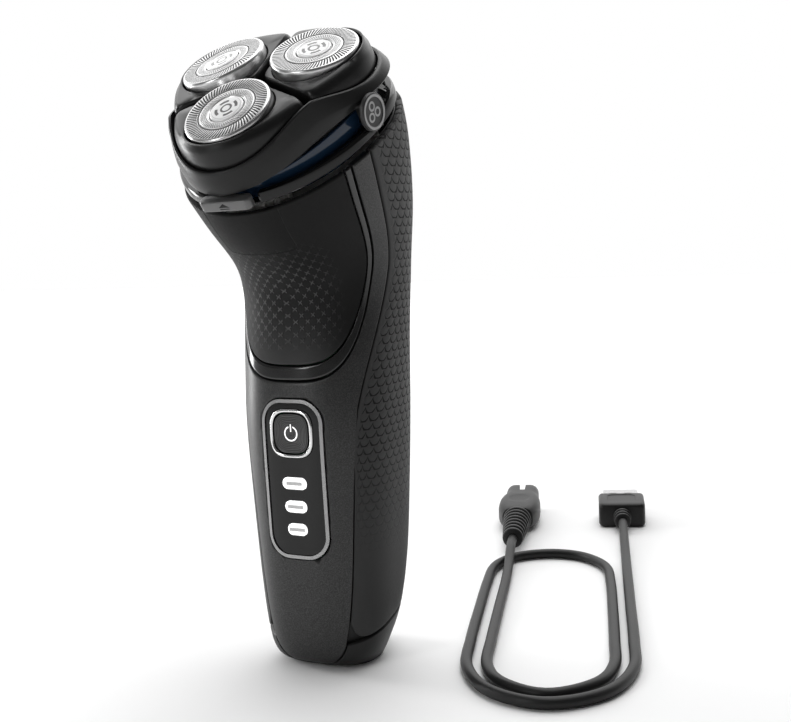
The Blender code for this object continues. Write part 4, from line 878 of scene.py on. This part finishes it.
def make_head_frame():
    """Head frame: its wall bulges between the swept skirt and the rising, softened rim."""
    low, rise = SKIRT_LOW + sweep(), rim_rise()
    middle, top, inner = SKIRT_TOP - 1.0 + 0.5 * rise, SKIRT_TOP + 0.7 + rise, SKIRT_TOP - 1.0
    wide, thin, half = HEAD_WIDE, HEAD_NARROW, (HEAD_WIDE + 2 * HEAD_NARROW) / 3
    path = ((0.1, 1.0, low), (-0.13, 1.0, low + 0.1), (-0.2, 1.0, low + 0.35),
            (-0.17, (1 + wide) / 2, low + 0.5 * (middle - low)),
            (-0.08, wide, middle - 0.15 * (middle - low)),
            (0.02, wide, middle), (0.1, (2 * wide + thin) / 3, middle + 0.4 * (top - middle)),
            (0.2, half, middle + 0.72 * (top - middle)),
            (0.3, (half + thin) / 2, top - 0.2), (0.45, thin, top),
            (RIM, thin, top), (RIM, thin, inner), (SKIRT_WALL, 1.0, low))
    rings = [in_head(lift(head_outline(inset, wide=w), z)) for inset, w, z in path]
    made = stack("head frame", rings, "head", closed=True)
    bridge = outline(KNUCKLE_HALF - 0.2, 2.3, 0.4) + (0, HINGE_BACK - 2.2)
    block = [in_head(lift(bridge, z)) for z in (SKIRT_LOW - 0.4, SKIRT_LOW + 2.2)]
    carve(made, block, "UNION")
    cut(made, hinge_rod(KNUCKLE_RADIUS, KNUCKLE_HALF), "UNION")
    cut(made, hinge_rod(PIN_RADIUS + GAP, PIN_ROOM))
    for side in (1, -1):
        flat = outline(BOSS_HALF, BOSS_HALF, BOSS_CORNER) - (BOSS_UP * side, 0)
        carve(made, [on_badge(lift(flat, z), side) for z in BOSS_ENDS], "UNION")
    return finish_piece(made, "head", "head", "head_frame")


def pod_reach(which, angles, inset_side, inset_out):
    """Distance from the pod's centre to the nearest of the head's outline and the gap lines."""
    centre = pod_centre(which)
    middle = math.radians(POD_ANGLES[which])
    way = np.stack((np.cos(angles), np.sin(angles)), 1)
    near, far = np.zeros(len(angles)), np.full(len(angles), 40.0)
    for _ in range(30):
        half = (near + far) / 2
        point = centre + way * half[:, None]
        x, y = point[:, 0] / HEAD_NARROW, point[:, 1]
        edge = (HEAD_RADIUS - inset_out) * (1 + HEAD_LOBE * np.cos(3 * (np.arctan2(y, x) + np.pi / 2)))
        inside = np.hypot(x, y) < edge
        near, far = np.where(inside, half, near), np.where(inside, far, half)
    reaches = [near]
    for side in (1, -1):
        turn = middle + side * math.radians(150)
        normal = np.array((math.cos(turn), math.sin(turn)))
        room = -centre @ normal - 0.75 - inset_side
        toward = way @ normal
        reaches.append(np.where(toward > 1e-6, room / np.maximum(toward, 1e-6), 1e6))
    return sum(np.minimum(r, 200.0) ** -16.0 for r in reaches) ** (-1 / 16)


def make_pod(which):
    """Pod: upright sides, a crisp shoulder and a flat top round the cap's hole."""
    count = 180
    angles = math.radians(POD_ANGLES[which]) + np.arange(count) * 2 * np.pi / count
    way = np.stack((np.cos(angles), np.sin(angles)), 1)
    centre = pod_centre(which)
    levels = ((0.0, 1.3, POD_LOW), (0.0, 1.3, POD_LOW + 1.6), (0.03, 1.5, -3.6),
              (0.06, 1.75, -2.85), (0.14, 2.15, -2.25), (0.3, 2.7, -1.8), (0.42, 3.1, -1.6), (0.6, 3.5, -1.5))
    rings = []
    for side, out, z in levels:
        reach = np.maximum(pod_reach(which, angles, side, out), CAP_RADIUS + 0.8)
        rings.append(lift(centre + way * reach[:, None], z))
    rings += [lift(centre + way * (CAP_RADIUS + gap), z) for gap, z in
              ((0.75, -1.5), (0.5, -1.56), (0.37, -1.75), (0.35, -2.2), (0.35, POD_LOW))]
    made = stack("pod " + which, [in_head(r) for r in rings], "pod", closed=True, angle=28.0)
    return finish_piece(made, "pod", "pod_" + which, "pod_" + which)


def make_cap(which):
    """Thin steel cup with a rounded shoulder, a dished track and a hole for its centre."""
    inner = CAP_RADIUS - CAP_WALL
    path = ((CAP_RADIUS, -CAP_HEIGHT), (CAP_RADIUS, -0.75), (CAP_RADIUS - 0.06, -0.45),
            (CAP_RADIUS - 0.22, -0.16), (CAP_RADIUS - 0.45, -0.03), (CAP_RADIUS - 0.7, 0.0),
            (8.3, 0.0), (7.0, 0.0), (6.85, -0.04),
            (6.72, -0.16), (6.58, -0.16), (6.45, -0.04), (6.3, 0.0), (5.2, 0.0), (4.45, 0.0), (4.28, -0.06),
            (BADGE_RADIUS + 0.14, -0.3), (BADGE_RADIUS + 0.14, -0.6), (7.0, -0.6), (inner, -0.6),
            (inner, -CAP_HEIGHT))
    rings = [lift(circle(r, 144), z) for r, z in path]
    chart = np.concatenate(rings)[:, :2]
    made = stack("guard cap " + which, [on_pod(r, which) for r in rings], "cap", chart, True, 50.0)
    finish_piece(made, "cap", "pod_" + which, "guard_cap_" + which)
    path = ((BADGE_RADIUS, -0.6), (BADGE_RADIUS, -0.08), (BADGE_RADIUS - 0.08, 0.04),
            (BADGE_RADIUS - 0.3, 0.12),
            (3.0, 0.15), (2.0, 0.15), (1.0, 0.15), (0.3, 0.15))
    rings = [lift(circle(r, 96), z) for r, z in path]
    chart = np.concatenate(rings)[:, :2]
    made = stack("cap centre " + which, [on_pod(r, which) for r in rings], "disc", chart, angle=60.0)
    return finish_piece(made, "disc", "pod_" + which, "cap_badge_" + which)


def on_badge(points, side):
    """From a side badge's own axes (its third points outwards) to the row frame."""
    c, s = math.cos(BADGE_SIDE_TURN), math.sin(BADGE_SIDE_TURN)
    out, across, down = points[:, 2] * side, points[:, 1], -points[:, 0] * side
    turned = np.column_stack((out * c + across * s * side, across * c - out * s * side, down))
    return in_head(turned + (side * BADGE_SIDE_X, BADGE_SIDE_BACK, BADGE_SIDE_LOW))


def make_side_badge(side):
    path = ((BADGE_SIDE_RADIUS, 0.0), (BADGE_SIDE_RADIUS, 0.6), (4.02, 0.78), (3.85, 0.88), (3.6, 0.9),
            (3.25, 0.9), (3.1, 0.84), (3.02, 0.7), (2.0, 0.7), (1.0, 0.7), (0.3, 0.7))
    flat = [lift(circle(r, 80), z) for r, z in path]
    chart = np.concatenate(flat)[:, (1, 0)] * (side, -1)
    rings = [on_badge(r, side) for r in flat]
    word = "right" if side > 0 else "left"
    made = stack("side badge " + word, rings, "badge", chart, angle=50.0)
    return finish_piece(made, "badge", "head", "side_badge_" + word)


def make_chamber():
    """Hair chamber: a cup under the head, with a hole for each spindle."""
    top = CHAMBER_TOP + sweep(144)
    path = ((3.0, CHAMBER_FLOOR, 0.02), (1.95, COLLAR_LOW + 0.1, 0.03), (1.8, COLLAR_LOW + 0.35, 0.03),
            (1.8, top - 0.15, 0.03), (1.95, top, 0.03), (2.8, top, 0.03), (4.0, CHAMBER_FLOOR + 1.0, 0.02))
    rings = [in_head(lift(head_outline(i, 144, swell), z)) for i, z, swell in path]
    made = stack("hair chamber", rings, "chamber")
    for which in POD_ANGLES:
        flat = circle(2.0, 32) + pod_centre(which)
        carve(made, [in_head(lift(flat, CHAMBER_FLOOR + z)) for z in (-3.0, 3.0)])
    return finish_piece(made, "chamber", "handle", "hair_chamber")


def make_collar():
    """Glossy collar that follows the handle's top edge, notched for button and hinge."""
    top = skin(1.0, np.arange(144) * 360 / 144) - HEAD_CENTRE
    c, s = math.cos(HEAD_TILT), math.sin(HEAD_TILT)
    plan = np.column_stack((top[:, 0], c * top[:, 1] + s * top[:, 2]))
    middle = np.array((0.0, (plan[:, 1].min() + plan[:, 1].max()) / 2))

    def ring(inset, height):
        away = plan - middle
        size = np.linalg.norm(away, axis=1, keepdims=True)
        return in_head(lift(middle + away * (1 - inset / size), height))

    edge = COLLAR_INSET
    path = ((edge + 0.1, COLLAR_LOW), (edge, COLLAR_LOW + 0.1), (edge, COLLAR_TOP - 1.1),
            (edge + 0.12, COLLAR_TOP - 0.4), (edge + 0.35, COLLAR_TOP - 0.08), (edge + 0.6, COLLAR_TOP),
            (2.4, COLLAR_TOP), (2.4, COLLAR_LOW))
    made = stack("body collar", [ring(i, z) for i, z in path], "gloss", closed=True)
    notch = outline(RELEASE_HALF + GAP, 4.0, 0.8) + (0, RELEASE_FRONT + 2.0)
    carve(made, [in_head(lift(notch, COLLAR_LOW + z)) for z in NOTCH_ENDS])
    back = outline(KNUCKLE_HALF + 0.5, 4.2, 0.5) + (0, HINGE_BACK)
    carve(made, [in_head(lift(back, COLLAR_LOW + z)) for z in NOTCH_ENDS])
    for side in (1, -1):
        cut(made, hinge_rod(EAR_RADIUS, EAR_HALF, side * (KNUCKLE_HALF + 1.5)), "UNION")
    cut(made, hinge_rod(PIN_RADIUS + GAP, PIN_ROOM))
    return finish_piece(made, "gloss", "handle", "body_collar")


def make_release():
    """Release button: a rounded block with softened edges."""
    flat = outline(RELEASE_HALF, 1.5, 1.2, 8)
    path = ((0.2, -2.4), (0.05, -2.33), (0.0, -2.15), (0.0, -0.3), (0.08, -0.1), (0.3, 0.0))
    rings = []
    for inset, z in path:
        small = flat * ((RELEASE_HALF - inset) / RELEASE_HALF, (1.5 - inset) / 1.5)
        rings.append(lift(small + (0, RELEASE_FRONT + 1.5), RELEASE_TOP + z))
    points = np.concatenate(rings)
    chart = np.column_stack((points[:, 0], points[:, 2] - RELEASE_TOP + 1.15))
    made = stack("release button", [in_head(r) for r in rings], "release", chart, angle=50.0)
    return finish_piece(made, "release", "release", "release_button")


# ---- charging cable --------------------------------------------------------------------

def cable_spot(along, across, height):
    """From the cable's own layout (along, across, height) to the row frame."""
    d = np.array((-math.sin(CABLE_TURN), math.cos(CABLE_TURN)))
    p = np.array((math.cos(CABLE_TURN), math.sin(CABLE_TURN)))
    return np.array((*(CABLE_START + along * d + across * p), height))


def on_cable(points, along, across, height):
    """Points drawn along +Z, laid so that +Z points away along the cable's layout."""
    d = np.array((-math.sin(CABLE_TURN), math.cos(CABLE_TURN), 0))
    p = np.array((math.cos(CABLE_TURN), math.sin(CABLE_TURN), 0))
    up = np.array((0, 0, 1.0))
    return (cable_spot(along, across, height) + np.outer(points[:, 0], p)
            + np.outer(points[:, 2], d) - np.outer(points[:, 1], up))


def cable_path(count):
    """Points at equal steps along a smooth curve through the route."""
    route = np.array([cable_spot(*point) for point in CABLE_ROUTE])
    slope = np.gradient(route, axis=0)
    u = np.linspace(0, 1, 12, endpoint=False)[:, None]
    a, b, da, db = (v[:, None] for v in (route[:-1], route[1:], slope[:-1], slope[1:]))
    fine = cubic(a, b, da, db, u).reshape(-1, 3)
    fine = np.concatenate((fine, route[-1:]))
    run = running(fine)
    at = np.linspace(0, run[-1], count)
    return np.stack([np.interp(at, run, fine[:, k]) for k in range(3)], 1), run[-1]


def make_cable():
    """Round black cable on the floor, with its plugs as separate pieces on it."""
    path, length = cable_path(320)
    curve = bpy.data.curves.new("charging cable", "CURVE")
    curve.dimensions = "3D"
    line = curve.splines.new("POLY")
    line.points.add(len(path) - 1)
    line.points.foreach_set("co", np.column_stack((path * MM, np.ones(len(path)))).ravel())
    curve.bevel_depth, curve.bevel_resolution, curve.use_fill_caps = CABLE_RADIUS * MM, 5, True
    curve.materials.append(LOOKS["cable"].made)
    cable = bpy.data.objects.new("charging-cable", curve)
    bpy.context.scene.collection.objects.link(cable)
    finish_piece(cable, "cable", "handle", "charging_cable")
    pieces = [*make_charging_plug(), *make_usb_plug()]


def relief(name, length, ribs, wide, narrow, place):
    """Ribbed sleeve: rounded rings that get smaller towards the cable, on a tapered core."""
    rings = []
    shape = ((0.62, 0.0), (0.88, 0.03), (0.98, 0.1), (1.0, 0.2), (1.0, 0.45), (0.98, 0.55), (0.88, 0.62),
             (0.62, 0.66), (0.62, 0.95))
    for k in range(ribs):
        big = narrow + (wide - narrow) * k / (ribs - 1)
        step = length / ribs
        rings += [lift(circle(big * r, 40), (k + z) * step) for r, z in shape]
    rings.append(lift(circle(wide * 0.62, 40), length))
    return stack(name, [on_cable(r, *place) for r in rings], "cable", angle=50.0)


def make_charging_plug():
    place = (PLUG_ALONG + GAP, PLUG_ACROSS, PLUG_HEIGHT)
    sleeve = relief("plug strain relief", PLUG_RELIEF + 0.05, 8, 4.6, 3.2, place)
    finish_piece(sleeve, "cable", "handle")
    z = np.array((0.0, 0.25, 0.8, 2.5, 5.0, 8.0, 12.0, 16.0, 19.5, 22.0, 24.0, 24.4, 29.0, 33.3, 33.8, 34.0))
    wide = np.array((4.6, 5.0, 5.2, 5.8, 6.4, 6.8, 6.9, 6.85, 6.5, 6.0, 5.65, 5.6, 5.6, 5.6, 5.45, 5.1))
    deep = np.array((3.2, 3.6, 3.8, 4.05, 4.25, 4.4, 4.4, 4.4, 4.3, 4.2, 4.12, 4.1, 4.1, 4.1, 3.95, 3.6))
    start = PLUG_ALONG + GAP + PLUG_RELIEF
    rings = [on_cable(lift(outline(x, y, min(y - 0.3, 3.0)), h), start, PLUG_ACROSS, PLUG_HEIGHT)
             for h, x, y in zip(z, wide, deep)]
    plug = stack("charging plug", rings, "cable")
    slot = outline(1.05, 6.0, 0.3)
    carve(plug, [on_cable(lift(slot, h), start, PLUG_ACROSS, PLUG_HEIGHT) for h in (26.0, 36.0)])
    share = np.radians(np.linspace(-88, 88, 25))
    rim = [circle(1.0, 64) * (3.9 * math.cos(a), 6.0 * math.cos(a)) for a in share]
    bowl = [np.column_stack((r[:, 0], np.full(64, -4.75 + 0.9 * math.sin(a)), 12.2 + r[:, 1]))
            for r, a in zip(rim, share)]
    carve(plug, [on_cable(r, start, PLUG_ACROSS, PLUG_HEIGHT) for r in bowl])
    finish_piece(soften(plug, 0.12), "cable", "handle", "charging_plug")
    return sleeve, plug


def make_usb_plug():
    place = (USB_ALONG + GAP, USB_ACROSS, USB_HEIGHT)
    sleeve = relief("usb strain relief", USB_RELIEF + 0.05, 3, 2.9, 2.6, place)
    finish_piece(sleeve, "cable", "handle")
    start = USB_ALONG + GAP + USB_RELIEF
    path = ((6.4, 2.9, 0.0), (6.8, 3.4, 0.15), (7.15, 3.75, 0.55), (7.45, 3.95, 1.4), (7.6, 4.0, 2.6),
            (7.6, 4.0, 15.7), (7.5, 3.9, 16.1), (7.2, 3.6, 16.3))
    rings = [on_cable(lift(outline(x, y, 1.3), h), start, USB_ACROSS, USB_HEIGHT) for x, y, h in path]
    over = stack("usb overmould", rings, "cable")
    panel = outline(4.6, 5.4, 2.2)
    tool = [np.column_stack((panel[:, 0], np.full(len(panel), y), 8.6 + panel[:, 1])) for y in (-6.0, -3.8)]
    carve(over, [on_cable(r, start, USB_ACROSS, USB_HEIGHT) for r in tool])
    finish_piece(soften(over, 0.12), "cable", "handle", "usb_overmould")
    start += 16.3 + GAP
    outer, inner = outline(6.0, 2.25, 0.5, 6), outline(5.65, 1.9, 0.3, 6)
    rings = [on_cable(lift(flat, h), start, USB_ACROSS, USB_HEIGHT)
             for flat, h in ((outer, -GAP), (outer, USB_SHELL), (inner, USB_SHELL), (inner, 1.0))]
    shell = stack("usb shell", rings, "steel")
    for side in (1, -1):
        hole = outline(1.15, 1.15, 0.15, 3) + (side * 2.6, 6.4)
        tool = [np.column_stack((hole[:, 0], np.full(len(hole), y), hole[:, 1])) for y in (-4.0, -1.2)]
        carve(shell, [on_cable(r, start, USB_ACROSS, USB_HEIGHT) for r in tool])
    finish_piece(soften(shell, 0.06), "steel", "handle", "usb_shell")
    return sleeve, over, shell, nodes["usb_tongue"]


# ---- pieces that keep the CAD solids ---------------------------------------------------

KEPT = {
    "inner": ("charging_inlet", "chassis", "retaining_frame"),
    "white": ("gear_plate", "drive_gear_front", "drive_gear_right", "drive_gear_left",
              "coupling_spindle_front", "coupling_spindle_right", "coupling_spindle_left"),
    "brass": ("inlet_pin_right", "inlet_pin_left", "motor_pinion"),
    "steel": ("motor", "head_hinge_pin", "cutter_front", "cutter_right", "cutter_left",
              "trimmer_comb", "trimmer_blade"),
    "board": ("circuit_board", "power_switch"),
    "wrap": ("battery",),
    "black": ("trimmer_body", "trimmer_tray"),
    "slider": ("trimmer_slider",),
    "contacts": ("usb_tongue",),
}
SOFT = {"charging_inlet": 0.2, "trimmer_body": 0.25, "trimmer_tray": 0.15, "trimmer_slider": 0.35,
        "trimmer_comb": 0.06, "trimmer_blade": 0.06, "motor": 0.3, "battery": 0.3, "retaining_frame": 0.15}


def keep_cad_pieces():
    """Give the CAD solids that show, or are seen when the head opens, their finish and soft edges."""
    for look, names in KEPT.items():
        for name in names:
            made = nodes[name]
            made.data.materials.clear()
            made.data.materials.append(LOOKS[look].made)
            if name in SOFT:
                join = made.modifiers.new("join", "WELD")
                join.merge_threshold = 0.00001
                step = made.modifiers.new("soft edges", "BEVEL")
                step.width, step.segments, step.harden_normals = SOFT[name] * MM, 2, True
                step.limit_method, step.angle_limit = "ANGLE", math.radians(40)


# ---- floor and light -------------------------------------------------------------------

def area(name, spot, target, width, height, power):
    data = bpy.data.lights.new(name, "AREA")
    data.shape, data.size, data.size_y, data.energy = "RECTANGLE", width, height, power
    lamp = bpy.data.objects.new(name, data)
    lamp.location = spot
    way = Vector(target) - Vector(spot)
    lamp.rotation_euler = way.to_track_quat("-Z", "Y").to_euler()
    bpy.context.scene.collection.objects.link(lamp)


def make_stage():
    """A wide pale floor whose far part glows as painted light, white surroundings and soft lamps."""
    look = Look("floor", grey(0.93), 0.6)
    look.put("Roughness", 0.55 + look.grain(30.0) * 0.1)
    # The floor glows more the farther back it lies: painted light, so that its far part melts into the white
    # surroundings.
    away = look.start.node("ShaderNodeTexCoord", output=3).parts()[1]
    look.put("Emission Color", away.rise(0.1, 0.7).mix(grey(0.0), grey(0.6)))
    look.shader.inputs["Emission Strength"].default_value = 1.0
    mesh = bpy.data.meshes.new("floor")
    mesh.from_pydata([(-4, -4, 0), (4, -4, 0), (4, 1.7, 0), (-4, 1.7, 0)], [], [(0, 1, 2, 3)])
    mesh.materials.append(look.made)
    floor = bpy.data.objects.new("floor", mesh)
    bpy.context.scene.collection.objects.link(floor)
    world = bpy.data.worlds.new("white surroundings")
    world.use_nodes = True
    start = Wire(world.node_tree)
    way = start.node("ShaderNodeTexCoord", output=0)
    inputs = {0: way, 1: (-0.46667, 0.87749, 0.1)}
    behind = start.node("ShaderNodeVectorMath", inputs, 1, operation="DOT_PRODUCT")
    paper = behind.rise(-0.1, 0.75).mix(grey(WORLD_FRONT), grey(1.0))
    start.feed(world.node_tree.nodes["Background"].inputs[0], paper)
    bpy.context.scene.world = world
    area("left panel", (-0.55, 0.0, 0.12), (0, 0, 0.08), 0.12, 0.5, 2.2)
    area("top panel", (0.05, 0.1, 0.7), (0, 0, 0.08), 0.5, 0.4, 2.0)
    area("far panel", (-0.5, 1.3, 1.3), (-0.3, 0.9, 0.0), 3.0, 1.5, 18.0)
    area("front panel", (-0.25, -0.6, 0.3), (0, 0, 0.05), 0.1, 0.4, 1.0)
    bpy.context.scene.view_settings.view_transform = "Standard"


make_camera()
make_cable()
make_front_shell()
make_trim_band()
make_neck_grip()
make_back_shell()
for hand in (1, -1):
    make_side_grip(hand)
    make_side_badge(hand)
make_window()
make_power_button()
make_lights()
make_collar()
make_release()
make_chamber()
make_head_frame()
for place in POD_ANGLES:
    make_pod(place)
    make_cap(place)
keep_cad_pieces()
make_stage()
